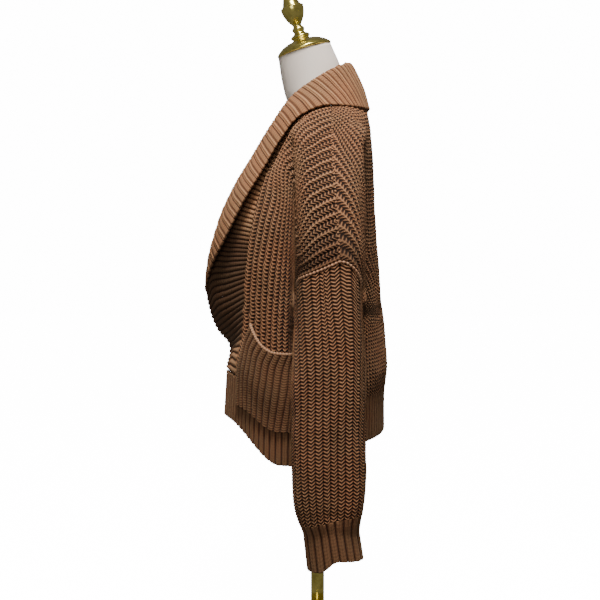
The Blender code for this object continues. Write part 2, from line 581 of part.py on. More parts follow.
def cuff_grid(columns=2 * CUFF_WALES):
    """Points and normals of the left cuff's outer face, from its top down, columns as the sleeve's."""
    share = np.arange(columns) / columns
    ring = sleeve_ring(SLEEVE_END - CUFF_NARROWS, share)
    low = CUFF_LOW_FRONT + (CUFF_LOW_BACK - CUFF_LOW_FRONT) * ramp(CUFF_RISES, ring[:, 1])
    rings = []
    for part in (0.0, 0.5, 1.0):
        row = ring + np.array([0, CUFF_SWING * part, 0])
        row[:, 2] = SLEEVE_END - GAP / 2 + (low - SLEEVE_END) * part
        rings.append(row)
    grid = np.stack(rings, 1)
    normal = normals_round(grid)
    normal[..., 2] = 0
    return grid, normalised(normal)


def make_sleeves(material):
    """Both sleeves and their cuffs."""
    for name, (grid, normal) in (("sleeve", sleeve_grid()), ("cuff", cuff_grid())):
        grid, normal = grid[::-1, ::-1], normal[::-1, ::-1]
        for side, mirror in (("left", False), ("right", True)):
            ribbed_wall(f"{name}_{side}", grid, material, normal, closed=True, mirror=mirror)


def normals_round(grid):
    """Normals of a grid whose columns go all the way round."""
    padded = np.concatenate([grid[-2:], grid, grid[:2]])
    return normals_of(padded)[2:-2]


# ---------------------------------------------------------------- hem bands
def hem_grid(across):
    """Points and normals of a hem band under places across the garment, two rows."""
    across = np.asarray(across, float)
    run = np.array([HEM_BOTTOM_RUN, HEM_TOP_RUN - GAP / 2])[None] + 0 * across[:, None]
    wide = across[:, None] * np.ones_like(run)
    grid, normal = place(wide, run), face_normal(wide, run)
    normal[..., 2] *= HEM_LEVELS
    return grid, normalised(normal)


def make_hems(material):
    """The hem band, its ribs under the panels' wales: the back's, and each front's, which runs on under the collar's end."""
    across, run = panel_places(False)
    grid, normal = two_halves(*hem_grid(across[:, 0]))
    rise = ribs(*grid.shape[:2], fade_ends=False)
    ribbed_wall("hem_back", grid, material, normal, rise=rise)
    across, run = panel_places(True)
    edge, end = across[-1, 0], float(collar_end_across(HEM_TOP_RUN))
    more = edge + (end - edge) * np.arange(1, 2 * COLLAR_CELLS + 1) / (2 * COLLAR_CELLS)
    grid, normal = hem_grid(np.concatenate([across[:, 0], more])[::-1])
    rise = ribs(*grid.shape[:2], fade_ends=False)
    ribbed_wall("hem_front_left", grid, material, normal, rise=rise)
    ribbed_wall("hem_front_right", grid, material, normal, rise=rise, mirror=True)


def collar_end_across(run):
    """How far along the outline the front band's free edge lies, where its x is COLLAR_END_X."""
    run = np.asarray(run, float)
    found = []
    for value in run.ravel():
        across = np.linspace(float(mark("front", value)), float(mark("edge", value)), 120)
        found.append(np.interp(COLLAR_END_X, place(across, value)[:, 0], across))
    return np.array(found).reshape(run.shape)


# ---------------------------------------------------------------- collar
def neck_seam():
    """Points, outward normals and runs of the seam between garment and collar, one for each half rib of the collar, from the centre back round the neck and down the front edge."""
    across, run = panel_places(False)
    on_ring = run[:, -1] >= NECK_RUN - 1e-6
    ring_across, ring_run = across[on_ring, -1][::-1], run[on_ring, -1][::-1]
    across, run = panel_places(True)
    rim_across = np.concatenate([ring_across, across[-1, ::-1]])
    rim_run = np.concatenate([ring_run, run[-1, ::-1]])
    corners, corner_normals = place(rim_across, rim_run), face_normal(rim_across, rim_run)
    spots = [np.arange(len(ring_across) - 1)]
    steps = 2 * COLLAR_RIBS_A_ROW
    spots.append(len(ring_across) + np.arange(PANEL_ROWS * steps + 1) / steps)
    spots = np.concatenate(spots)
    index = np.arange(len(rim_across))
    points, normal = (np.stack([np.interp(spots, index, v[:, k]) for k in range(3)], -1) for v in (corners, corner_normals))
    return points, normalised(normal), np.interp(spots, index, rim_run)


def collar_grid(cells):
    """Points and normals of the band's hidden face for one side: half ribs from the centre back to the end, cells from the seam to the free edge."""
    seam, seam_normal, run = neck_seam()
    along = np.concatenate([[0], np.linalg.norm(np.diff(seam, axis=0), axis=1).cumsum()])
    roll = np.stack([column(COLLAR, COLLAR_COLUMNS, f"roll_{axis}", along) for axis in "xyz"], -1)
    free = np.stack([column(COLLAR, COLLAR_COLUMNS, f"free_{axis}", along) for axis in "xyz"], -1)
    settled_run = np.clip(run, HEM_TOP_RUN, COLLAR_SETTLED_TOP) + COLLAR_END_GAP
    end, edge = collar_end_across(settled_run), mark("edge", settled_run)
    flat_free, flat_roll = place(end, settled_run), place((end + edge) / 2, settled_run)
    settle = ramp(COLLAR_SETTLES, along)[:, None]
    roll, free = roll + (flat_roll - roll) * settle, free + (flat_free - free) * settle
    beyond = normalised(np.cross(np.gradient(seam, axis=0), seam_normal))
    seam = seam + beyond * COLLAR_SEAM_GAP
    seam[:, 2] += COLLAR_END_GAP * ramp((along[-1] - COLLAR_ENDS, along[-1]), along)
    turned = 1 - ramp(COLLAR_FLATTENS, along)[:, None]
    flank = normalised(free - seam)
    lean = normalised(np.array([0, 0, 1.0]) - flank * flank[:, 2:])
    under = (seam + roll) / 2
    over = (roll + free) / 2 + turned * (COLLAR_LOFT * flank + COLLAR_LIFT * lean)
    sections = np.stack([seam, under, roll, over, free], 1)
    grid = np.stack([evenly(row, np.linspace(0, 1, cells + 1), 160) for row in sections])
    normal = -normals_of(grid)
    normal[:, 0] -= beyond * np.maximum((normal[:, 0] * beyond).sum(-1, keepdims=True), 0)
    normal[-1, :, 2] = 0
    return grid, normalised(normal)


def make_collar(material):
    """The whole shawl collar, with ribs across the face that shows where it is turned over."""
    grid, normal = two_halves(*(v[::-1] for v in collar_grid(COLLAR_CELLS)))
    rise = ribs(*grid.shape[:2])
    rise[:, -1] = rise[:, 1]
    shown = grid - (WALL + rise[..., None]) * normal
    add_object("collar", *wall_mesh(shown[::-1], grid[::-2]), material)


# ---------------------------------------------------------------- pockets
def pocket_grid(columns, rows):
    """Points and normals of the left pocket's outer face, columns from the front to the side."""
    u = np.linspace(0, 1, columns)[:, None]
    v = np.linspace(0, 1, rows)[None]
    knots = np.linspace(0, 1, 4)
    bottom = curve_through(knots, np.array(POCKET_BOTTOM), u)
    top = curve_through(knots, np.array(POCKET_TOP), u)
    run = bottom + (top - bottom) * v
    share = POCKET_SHARES[0] + (POCKET_SHARES[1] - POCKET_SHARES[0]) * u + 0 * v
    fold, edge = mark("fold", run), mark("edge", run)
    across = np.where(share > 1, fold + (share - 1) * (edge - fold), share * fold)
    base = place(across, run)
    out = normals_of(base)
    gape = POCKET_GAPE * np.sin(math.pi * u) * ease(v)
    return base + out * (POCKET_LIFT + WALL + gape)[..., None], out


def make_pockets(material):
    """Both patch pockets."""
    grid, normal = pocket_grid(2 * POCKET_RIBS + 1, 5)
    ribbed_wall("pocket_left", grid, material, normal)
    ribbed_wall("pocket_right", grid, material, normal, mirror=True)


# ---------------------------------------------------------------- dress form and stand
def stacked_rings(rings):
    """Vertices and faces of a closed solid through rings of points, capped at both ends."""
    count, sides = rings.shape[:2]
    vertices = rings.reshape(-1, 3)
    faces = []
    for k in range(count - 1):
        for i in range(sides):
            n = (i + 1) % sides
            faces.append((k * sides + i, k * sides + n, (k + 1) * sides + n, (k + 1) * sides + i))
    faces.append(tuple(range(sides))[::-1])
    faces.append(tuple((count - 1) * sides + i for i in range(sides)))
    return vertices, faces


def make_form(material):
    """The torso and its leaning neck."""
    angle = np.linspace(0, 2 * math.pi, FORM_SIDES, endpoint=False)
    rings = []
    for height, half, front, back, tilt in FORM:
        x = half * np.cos(angle)
        y = (front + back) / 2 + (back - front) / 2 * np.sin(angle)
        z = height + np.tan(math.radians(tilt)) * (y - (front + back) / 2)
        rings.append(np.stack([x, y, z], -1))
    add_object("dress_form", *stacked_rings(np.array(rings)), material)


def turned_piece(name, profile, middle, tilt, material, sides=TURNED_SIDES):
    """A solid turned round an axis that leans forward by tilt at middle."""
    angle = np.linspace(0, 2 * math.pi, sides, endpoint=False)
    rings = np.array([np.stack([r * np.cos(angle), r * np.sin(angle), np.full(sides, h)], -1) for h, r in profile])
    y, z = rings[..., 1].copy(), rings[..., 2].copy()
    rings[..., 1] = y * math.cos(tilt) - z * math.sin(tilt)
    rings[..., 2] = y * math.sin(tilt) + z * math.cos(tilt)
    return add_object(name, *stacked_rings(rings + np.array(middle)), material)


def make_stand(brass):
    """The brass cap and finial, the pole and the base."""
    turned_piece("neck_cap", CAP_PROFILE, CAP_MIDDLE, CAP_TILT, brass, 28)
    turned_piece("finial", FINIAL_PROFILE, CAP_MIDDLE, CAP_TILT, brass)
    pole = ((BASE_TOP + GAP, POLE_RADIUS), (FORM[0][0] - GAP, POLE_RADIUS))
    turned_piece("pole", pole, (0, 0, 0), 0.0, brass, 16)
    turned_piece("base", BASE_PROFILE, (0, 0, 0), 0.0, brass, 40)


def material_of(name, colour, roughness, metallic):
    """A plain Principled material."""
    material = bpy.data.materials.new(name)
    material.use_nodes = True
    shader = material.node_tree.nodes["Principled BSDF"]
    shader.inputs["Base Color"].default_value = colour
    shader.inputs["Roughness"].default_value = roughness
    shader.inputs["Metallic"].default_value = metallic
    return material


def main():
    """Builds every piece."""
    for obj in list(bpy.data.objects):
        bpy.data.objects.remove(obj)
    yarn = material_of("caramel_yarn", CARAMEL, 0.9, 0.0)
    brass = material_of("polished_brass", BRASS, 0.2, 1.0)
    cover = material_of("form_cover", COVER, 0.85, 0.0)
    make_panels(yarn)
    make_sleeves(yarn)
    make_hems(yarn)
    make_collar(yarn)
    make_pockets(yarn)
    make_form(cover)
    make_stand(brass)


main()
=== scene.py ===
"""A chunky shawl collar cardigan in caramel yarn, on a limbless dress form with a brass cap and stand.

Metres, +Z up. The front faces -Y and the wearer's left is +X. The garment's face is a chart, the same
as its solids have: a place on it is (across, run), and its knitting is drawn on that chart.
"""

from __future__ import annotations

import logging
import math
from dataclasses import dataclass, field
from enum import Enum

import bpy
import numpy as np
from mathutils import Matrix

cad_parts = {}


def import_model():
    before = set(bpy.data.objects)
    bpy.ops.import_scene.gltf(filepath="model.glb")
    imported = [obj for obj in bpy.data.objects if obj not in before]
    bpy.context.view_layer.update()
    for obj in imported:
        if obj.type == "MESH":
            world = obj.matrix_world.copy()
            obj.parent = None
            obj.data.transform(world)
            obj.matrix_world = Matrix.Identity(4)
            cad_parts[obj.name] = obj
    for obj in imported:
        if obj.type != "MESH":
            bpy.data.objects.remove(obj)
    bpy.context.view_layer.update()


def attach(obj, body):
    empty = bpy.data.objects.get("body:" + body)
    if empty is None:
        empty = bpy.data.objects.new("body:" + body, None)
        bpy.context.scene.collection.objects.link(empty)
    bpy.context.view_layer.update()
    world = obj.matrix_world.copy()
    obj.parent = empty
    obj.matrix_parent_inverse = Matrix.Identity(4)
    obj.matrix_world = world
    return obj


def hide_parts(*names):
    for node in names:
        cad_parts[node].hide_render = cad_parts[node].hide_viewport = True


LOG = logging.getLogger("cardigan")
Array = np.ndarray
Colour = tuple[float, float, float, float]

WALL = 0.0032  # knitted wall between its inner face and the middle of its ribs
GAP = 0.0003  # between pieces at a seam


class Side(Enum):
    """The wearer's side that a piece is on."""

    LEFT = "left"
    RIGHT = "right"


class Half(Enum):
    """The part of the garment that a panel is."""

    FRONT = "front"
    BACK = "back"


# ---------------------------------------------------------------- small mathematics
def ease(value: Array) -> Array:
    """Gives 0 below 0, 1 above 1 and the cubic step 3v^2 - 2v^3 between."""
    value = np.clip(value, 0.0, 1.0)
    return value * value * (3.0 - 2.0 * value)


def steps_along(grid: Array, value: Array) -> Array:
    """How many steps of an even grid a value lies along it, just short of its last point at most."""
    return np.clip((value - grid[0]) / (grid[1] - grid[0]), 0, len(grid) - 1.0001)


def ramp(limits: tuple[float, float], value: Array) -> Array:
    """Gives 0 below the first limit, 1 above the second and a smooth step between."""
    return ease((value - limits[0]) / (limits[1] - limits[0]))


def normalised(vectors: Array) -> Array:
    """Divides vectors by their length."""
    return vectors / np.maximum(np.linalg.norm(vectors, axis=-1, keepdims=True), 1e-12)


def curve_through(knots: Array, values: Array, at: Array) -> Array:
    """Reads a smooth curve: cubic between each two knots, with slopes from parabolas through three.

    Args:
        knots: rising numbers.
        values: the curve's value at each knot, numbers or points.
        at: where to read it.

    Returns:
        The values at those places.
    """
    knots, values, at = (np.asarray(v, float) for v in (knots, values, at))
    slopes = np.gradient(values, knots, axis=0, edge_order=1)
    at = np.clip(at, knots[0], knots[-1])
    k = np.clip(np.searchsorted(knots, at) - 1, 0, len(knots) - 2)
    step = knots[k + 1] - knots[k]
    s = (at - knots[k]) / step
    if values.ndim > 1:
        s, step = s[..., None], step[..., None]
    first = (1 + 2 * s) * (1 - s) ** 2 * values[k] + s * (1 - s) ** 2 * step * slopes[k]
    second = s * s * (3 - 2 * s) * values[k + 1] + s * s * (s - 1) * step * slopes[k + 1]
    return first + second


def length_along(points: Array, axis: int = 0) -> Array:
    """Sums the straight steps between points along an axis of an array, from 0 at its start."""
    steps = np.linalg.norm(np.diff(points, axis=axis), axis=-1).cumsum(axis=axis)
    start = np.zeros_like(np.take(steps, [0], axis=axis))
    return np.concatenate([start, steps], axis=axis)


def evenly(points: Array, shares: Array, count: int = 400) -> Array:
    """Reads a smooth curve through points at shares (0 to 1) of its length."""
    points = np.asarray(points, float)
    knots = length_along(points)
    fine = curve_through(knots, points, np.linspace(0, knots[-1], count))
    length = length_along(fine)
    return interpolated(np.asarray(shares) * length[-1], length, fine)


def interpolated(at: Array, knots: Array, values: Array) -> Array:
    """Reads each coordinate of a list of points by straight lines between knots."""
    return np.stack([np.interp(at, knots, values[:, k]) for k in range(values.shape[1])], -1)


def normals_of(grid: Array) -> Array:
    """Unit normals of a grid of points, the cross product of its column and row directions."""
    return normalised(np.cross(np.gradient(grid, axis=0), np.gradient(grid, axis=1)))


def normals_round(grid: Array) -> Array:
    """Normals of a grid whose columns go all the way round."""
    return normals_of(np.concatenate([grid[-2:], grid, grid[:2]]))[2:-2]


def smoothed(values: Array, width: int) -> Array:
    """Averages each value of a list with its neighbours under a cosine window, the ends held."""
    window = np.hanning(2 * width + 3)[1:-1]
    window /= window.sum()
    held = np.concatenate([np.repeat(values[:1], width, 0), values, np.repeat(values[-1:], width, 0)])
    return np.stack([np.convolve(held[:, k], window, "valid") for k in range(values.shape[1])], -1)


@dataclass(frozen=True)
class Table:
    """A short table with named columns, read as smooth functions of its first column."""

    columns: tuple[str, ...]
    rows: tuple[tuple[float, ...], ...]

    def read(self, name: str, at: Array) -> Array:
        """The named column at places of the first column."""
        table = np.array(self.rows)
        return curve_through(table[:, 0], table[:, self.columns.index(name)], at)


@dataclass(frozen=True)
class Unevenness:
    """Soft unevenness: a lattice of seeded numbers, read by smooth steps between its points."""

    seed: int
    cells: int = 64

    def at(self, u: Array, v: Array) -> Array:
        """The unevenness, of about unit size, at places measured in lattice cells."""
        lattice = np.random.default_rng(self.seed).standard_normal((self.cells, self.cells))
        u, v = np.broadcast_arrays(np.asarray(u, float), np.asarray(v, float))
        i, j = np.floor(u).astype(int), np.floor(v).astype(int)
        a, b = ease(u - i), ease(v - j)
        i, j, n = i % self.cells, j % self.cells, self.cells
        low = lattice[i, j] * (1 - a) + lattice[(i + 1) % n, j] * a
        high = lattice[i, (j + 1) % n] * (1 - a) + lattice[(i + 1) % n, (j + 1) % n] * a
        return low * (1 - b) + high * b


# ---------------------------------------------------------------- the garment's chart
@dataclass
class Chart:
    """The garment's outer face on the left side.

    At each run (a height that turns into the distance along the shoulder line where the shoulder
    slopes) an outline goes from the centre front round the side to the centre back. It is the smooth
    union of a body oval and the lobe of the dropped sleeve head. Across is measured along the
    outline from the side and shoulder seam line, negative to the front.
    """

    outline: Table = Table(
        ("run", "height", "reach", "half", "front", "back", "lobe", "side", "fold", "tuck", "edge"),
        (
            (0.370, 0.370, 0.190, 0.211, -0.1720, 0.1195, 0.0, 0.002, -0.050, 0.052, -0.1465),
            (0.454, 0.454, 0.190, 0.212, -0.1665, 0.1205, 0.0, 0.004, -0.050, 0.056, -0.1440),
            (0.482, 0.482, 0.190, 0.212, -0.1655, 0.1238, 0.0, 0.006, -0.049, 0.058, -0.1415),
            (0.545, 0.545, 0.190, 0.200, -0.1605, 0.1195, 0.0, 0.012, -0.048, 0.064, -0.1310),
            (0.575, 0.575, 0.212, 0.198, -0.1595, 0.1165, 0.35, 0.018, -0.0455, 0.067, -0.1285),
            (0.620, 0.620, 0.246, 0.196, -0.1580, 0.1120, 1.0, 0.028, -0.0425, 0.069, -0.1275),
            (0.665, 0.665, 0.270, 0.195, -0.1565, 0.1090, 1.0, 0.030, -0.0400, 0.070, -0.1262),
            (0.715, 0.715, 0.279, 0.194, -0.1520, 0.1055, 1.0, 0.0290, -0.0390, 0.070, -0.1220),
            (0.7713, 0.770, 0.267, 0.193, -0.1430, 0.1015, 1.0, 0.0260, -0.0385, 0.070, -0.1140),
            (0.8356, 0.832, 0.244, 0.190, -0.1200, 0.0990, 1.0, 0.0225, -0.0385, 0.070, -0.0980),
            (0.9039, 0.891, 0.205, 0.186, -0.0850, 0.0955, 1.0, 0.0195, -0.0370, 0.069, -0.0720),
            (0.9548, 0.932, 0.160, 0.168, -0.0620, 0.0910, 1.0, 0.0200, -0.0300, 0.066, -0.0500),
            (1.0139, 0.9625, 0.120, 0.121, -0.0410, 0.0865, 0.0, 0.0215, -0.0150, 0.062, -0.0260),
            (1.0672, 0.9790, 0.060, 0.074, -0.0240, 0.0775, 0.0, 0.0225, -0.0050, 0.052, -0.0020),
            (1.0853, 0.987, 0.050, 0.060, -0.0160, 0.0620, 0.0, 0.0220, 0.0000, 0.045, 0.0219),
        ),
    )
    armhole_front: tuple = (
        (0.0, 0.545), (0.20, 0.553), (0.45, 0.570), (0.66, 0.595), (0.80, 0.620), (0.89, 0.645),
        (0.90, 0.663), (0.82, 0.676),
        (0.70, 0.6845), (0.50, 0.6935), (0.25, 0.704), (0.0, 0.715),
    )
    armhole_back: tuple = ((0.0, 0.545), (0.25, 0.552), (0.50, 0.566), (0.64, 0.590), (0.68, 0.620),
        (0.64, 0.650), (0.50, 0.678), (0.34, 0.698), (0.14, 0.7125), (0.0, 0.715))
    crease_low: tuple = ((-0.0540, 0.454), (-0.0535, 0.500), (-0.0525, 0.560), (-0.0510, 0.620),
        (-0.0495, 0.670), (-0.0475, 0.730), (-0.0455, 0.800))
    crease_front: tuple = ((0.97, 0.850), (0.84, 0.896), (0.47, 0.932), (0.0, 0.950))
    crease_back: tuple = (
        (1.78, 0.454), (1.62, 0.500), (1.45, 0.560), (1.28, 0.620), (1.08, 0.690), (0.90, 0.760),
        (0.72, 0.820), (0.54, 0.868), (0.33, 0.908), (0.14, 0.936), (0.0, 0.950),
    )
    crease_pace: tuple = ((0.0, 0.0), (0.2, 0.175), (0.3, 0.215), (0.5, 0.345), (0.75, 0.64), (1.0, 1.0))
    hem_top: float = 0.454
    underarm: float = 0.545
    cross: float = 0.950  # where the wale that follows the sleeve crease meets the shoulder line
    neck: float = 1.0853
    drop_wales: int = 10
    front_wales: int = 8
    back_wales: int = 18
    neck_wales: int = 6
    underarm_share: float = 0.2  # of a wale's rows, at which the underarm lies
    top_pull: int = 4
    roundness: float = 2.1
    lobe_middle: tuple[float, float] = (0.130, 0.0155)
    lobe_half_depth: float = 0.0560
    lobe_roundness: float = 5.0
    lift_fades: tuple[float, float] = (0.470, 0.760)  # runs over which the hem's lift dies away
    lift_over: float = 0.090  # depth over which it sets in, forward and back from the next two
    front_lift_from: float = -0.066
    back_lift_from: float = -0.010
    # runs between which the front's wales stop being evenly spaced in y
    by_depth: tuple[float, float] = (0.800, 0.880)
    sharpness: float = 24.0
    mark_smoothing: int = 12
    front_lift: float = 0.060
    back_lift: float = 0.029
    levels: Array = field(init=False)
    spread: Array = field(init=False)
    faces: Array = field(init=False)
    marks: dict[str, Array] = field(init=False)
    depths: Array = field(init=False)
    across_of: Array = field(init=False)

    def __post_init__(self) -> None:
        """Finds the outline at each level, as points evenly spaced along it, and where its marks lie."""
        self.levels = np.linspace(0.370, self.neck, 459)
        self.spread = np.linspace(-0.42, 0.42, 1121)
        t = {name: self.outline.read(name, self.levels)[:, None] for name in self.outline.columns}
        centre = 0.45 * t["half"]
        to_front = np.arctan2(t["front"] - t["side"], -centre)
        to_back = np.arctan2(t["back"] - t["side"], -centre)
        rays = 400
        shares = np.linspace(0, 1, rays)
        angle = np.concatenate([to_front * (1 - shares), (to_back * shares)[:, 1:]], axis=1)
        low, high = np.zeros_like(angle), np.full_like(angle, 0.45)
        for _ in range(40):
            middle = (low + high) / 2
            x, y = centre + middle * np.cos(angle), t["side"] + middle * np.sin(angle)
            inside = self.union(x, y, t) < 1
            low, high = np.where(inside, middle, low), np.where(inside, high, middle)
        length = length_along(np.stack([x, y], -1), axis=1)
        length -= length[:, rays - 1 : rays]
        rows = range(len(self.levels))
        self.faces = np.stack([np.stack([np.interp(self.spread, length[k], v[k]) for k in rows])
            for v in (x, y)], -1)
        self.marks = {name: np.array([np.interp(t[name][k, 0], y[k], length[k]) for k in rows])
            for name in ("fold", "tuck", "edge")}
        self.marks = {name: smoothed(along[:, None], self.mark_smoothing)[:, 0] for name,
            along in self.marks.items()}
        self.marks["front"], self.marks["back"] = length[:, 0], length[:, -1]
        self.depths = np.linspace(-0.19, 0.01, 401)
        self.across_of = np.stack([np.interp(self.depths, np.maximum.accumulate(y[k]), length[k])
            for k in rows])

    def union(self, x: Array, y: Array, t: dict[str, Array]) -> Array:
        """The smooth union's gauge, 1 on the outline: minus the log of two superellipses' exponentials."""
        middle, half = (t["front"] + t["back"]) / 2, (t["back"] - t["front"]) / 2
        body = (np.abs(x / t["half"]) ** self.roundness
            + np.abs((y - middle) / half) ** self.roundness) ** (1 / self.roundness)
        reach = np.maximum(t["reach"] - self.lobe_middle[0], 0.02)
        power = self.lobe_roundness
        lobe = (np.abs((x - self.lobe_middle[0]) / reach) ** power
            + np.abs((y - self.lobe_middle[1]) / self.lobe_half_depth) ** power) ** (1 / power)
        lobe = lobe + 1.2 * (1 - t["lobe"])
        return -np.log(np.exp(-self.sharpness * body) + np.exp(-self.sharpness * lobe)) / self.sharpness

    def mark(self, name: str, run: Array) -> Array:
        """How far along the outline a named mark lies at a run: fold, tuck, edge, front or back."""
        return np.interp(run, self.levels, self.marks[name])

    def across_at(self, depth: Array, run: Array) -> Array:
        """How far along the outline its front part reaches a y at a run."""
        level = steps_along(self.levels, run)
        spot = steps_along(self.depths, depth)
        i, j = level.astype(int), spot.astype(int)
        u, v = level - i, spot - j
        low = (1 - v) * self.across_of[i, j] + v * self.across_of[i, j + 1]
        high = (1 - v) * self.across_of[i + 1, j] + v * self.across_of[i + 1, j + 1]
        return (1 - u) * low + u * high

    def place(self, across: Array, run: Array) -> Array:
        """Points of the outer face: straight lines between the chart's points, with the hem's lift added."""
        across, run = np.broadcast_arrays(np.asarray(across, float), np.asarray(run, float))
        level = steps_along(self.levels, run)
        spot = steps_along(self.spread, across)
        i, j = level.astype(int), spot.astype(int)
        u, v = (level - i)[..., None], (spot - j)[..., None]
        f = self.faces
        low = (1 - v) * f[i, j] + v * f[i, j + 1]
        high = (1 - v) * f[i + 1, j] + v * f[i + 1, j + 1]
        flat = (1 - u) * low + u * high
        fade = 1 - ramp(self.lift_fades, run)
        forward = ease((self.front_lift_from - flat[..., 1]) / self.lift_over)
        backward = ease((flat[..., 1] - self.back_lift_from) / self.lift_over)
        lift = fade * (self.front_lift * forward + self.back_lift * backward)
        height = self.outline.read("height", run) + lift
        return np.stack([flat[..., 0], flat[..., 1], height], -1)

    def normal(self, across: Array, run: Array, reach: float = 0.004) -> Array:
        """Outward unit normals of the face, from points a short reach to each side."""
        across, run = np.broadcast_arrays(np.asarray(across, float), np.asarray(run, float))
        aside = self.place(across + reach, run) - self.place(across - reach, run)
        upper, lower = np.minimum(run + reach, self.neck), np.maximum(run - reach, self.levels[0])
        above = self.place(across, upper) - self.place(across, lower)
        return normalised(np.cross(aside, above))

    def guide(self, rows: tuple, name: str, shares: Array) -> Array:
        """(share of the outline up to the named mark, run) of a guiding wale at shares of its length."""
        fine = evenly(rows, np.linspace(0, 1, 400))
        length = length_along(self.place(fine[:, 0] * self.mark(name, fine[:, 1]), fine[:, 1]))
        return interpolated(shares, length / length[-1], fine)

    def armhole_wale(self, half: Half, shares: Array) -> Array:
        """The wale that goes up the side seam to the underarm and on round half the armhole."""
        rows, name = (self.armhole_front, "fold") if half is Half.FRONT else (self.armhole_back, "tuck")
        turn = self.underarm_share
        rest = self.guide(rows, name, np.clip((shares - turn) / (1 - turn), 0, 1))
        seam = self.hem_top + (self.underarm - self.hem_top) * np.clip(shares / turn, 0, 1)
        return np.where((shares < turn)[:, None], np.stack([np.zeros_like(seam), seam], -1), rest)

    def edge_wale(self, name: str, shares: Array) -> Array:
        """(across, run) up the front edge or the centre back at shares of its length."""
        runs = np.linspace(self.hem_top, self.neck, 800)
        length = length_along(self.place(self.mark(name, runs), runs))
        run = np.interp(shares, length / length[-1], runs)
        return np.stack([self.mark(name, run), run], -1)

    def panel(self, half: Half, wales: Array, shares: Array) -> tuple[Array, Array]:
        """The wales of a front or half the back.

        Args:
            half: which panel.
            wales: wale numbers, 0 at the armhole and rising to the front edge or the centre back.
            shares: shares of each wale's length, from the hem up.

        Returns:
            Across and run of each wale at each share: the wales lie evenly between three guides, which
            are the armhole, the sleeve crease and the front edge or the centre back.
        """
        front = half is Half.FRONT
        name = "fold" if front else "tuck"
        wales = np.asarray(wales, float)[:, None]
        seam = self.armhole_wale(half, shares)[None]
        pace = np.interp(shares, *np.array(self.crease_pace).T)
        depths, heights = np.array(self.crease_low).T
        runs = np.linspace(heights[0], heights[-1], 70)
        low = np.stack([self.across_at(np.interp(runs, heights, depths), runs) / self.mark("fold", runs),
            runs], -1)
        rows = tuple(map(tuple, low)) + self.crease_front if front else self.crease_back
        crease = self.guide(rows, name, pace)[None]
        u = np.clip(wales / self.drop_wales, 0, 1)
        part, run = ((1 - u) * seam[..., k] + u * crease[..., k] for k in (0, 1))
        across = part * self.mark(name, run)
        crease_across = crease[..., 0] * self.mark(name, crease[..., 1])
        edge = self.edge_wale("edge" if front else "back", shares)[None]
        v = np.clip((wales - self.drop_wales) / (self.front_wales if front else self.back_wales), 0, 1)
        body_across = (1 - v) * crease_across + v * edge[..., 0]
        body_run = (1 - v) * crease[..., 1] + v * edge[..., 1]
        if front:
            at_crease, at_edge = (self.place(a, r)[..., 1] for a,
                r in ((crease_across, crease[..., 1]), (edge[..., 0], edge[..., 1])))
            even = self.across_at((1 - v) * at_crease + v * at_edge, body_run)
            top = ramp(self.by_depth, body_run)
            body_across = np.where(v > 0, even, crease_across) * (1 - top) + body_across * top
        if not front:  # the top runs along the shoulder line, then round the back of the neck
            line, ring = self.neck - self.cross, float(self.mark("back", self.neck))
            turn = 1 - self.neck_wales / self.back_wales
            pull = shares[None] ** self.top_pull
            body_run = body_run + pull * (self.cross + line * np.clip(v / turn, 0, 1)
                - (self.cross + v * line))
            body_across = body_across + pull * (ring * np.clip((v - turn) / (1 - turn), 0, 1) - v * ring)
        inner = wales <= self.drop_wales
        return np.where(inner, across, body_across), np.where(inner, run, body_run)


# ---------------------------------------------------------------- knitting
@dataclass(frozen=True)
class Stitch:
    """The relief of a knit: a rounded wale between two grooves, with a leaning leg a course on each side.

    A place in the knit is (wale, course), both counted in stitches. With a = 0 in the middle of a wale
    and 1 in the groove, the wale stands up by 1 - a^squareness, less a dent in its middle, and a leg's
    crest lies where course - lean * a is a whole number.
    """

    course: float = 0.0062
    lean: float = 0.80
    squareness: float = 4.0
    wale_rise: float = 0.0011
    leg_rise: float = 0.0016
    sinks: float = 0.0011  # how far the groove lies under the middle of the wall
    spine_width: float = 0.18
    spine_swell: float = 0.6  # share by which a wale with a spine stands higher
    split: float = 0.0  # depth of a fine groove along the wale's middle
    split_width: float = 0.16

    def relief(self, wale: Array, course: Array, spine: Array | float = 0.0) -> Array:
        """How far the knit stands out of the wall's middle; at a spine, the legs run together."""
        a = np.abs(2 * (wale % 1.0) - 1)
        leg = 0.5 + 0.5 * np.cos(2 * math.pi * (course - self.lean * a))
        leg = leg + (1 - leg) * spine * np.exp(-((a / self.spine_width) ** 2))
        body = 1 - a**self.squareness
        raised = body * (self.wale_rise * (1 + self.spine_swell * spine) + self.leg_rise * leg)
        return raised - self.split * np.exp(-((a / self.split_width) ** 2)) - self.sinks


FISHERMAN = Stitch()
FINE_RIB = Stitch(course=0.0043, lean=0.5, squareness=2.8, wale_rise=0.0020, leg_rise=0.0005)
BAND_RIB = Stitch(course=0.0043, lean=0.5, squareness=3.0, wale_rise=0.0022, leg_rise=0.0002, split=0.0008)


@dataclass(frozen=True)
class Weave:
    """The places of a knitted face in its own stitches: (columns, rows) arrays of wale and course numbers."""

    wale: Array
    course: Array

    def turned(self) -> Weave:
        """The same places with the columns the other way round."""
        return Weave(self.wale[::-1], self.course[::-1])


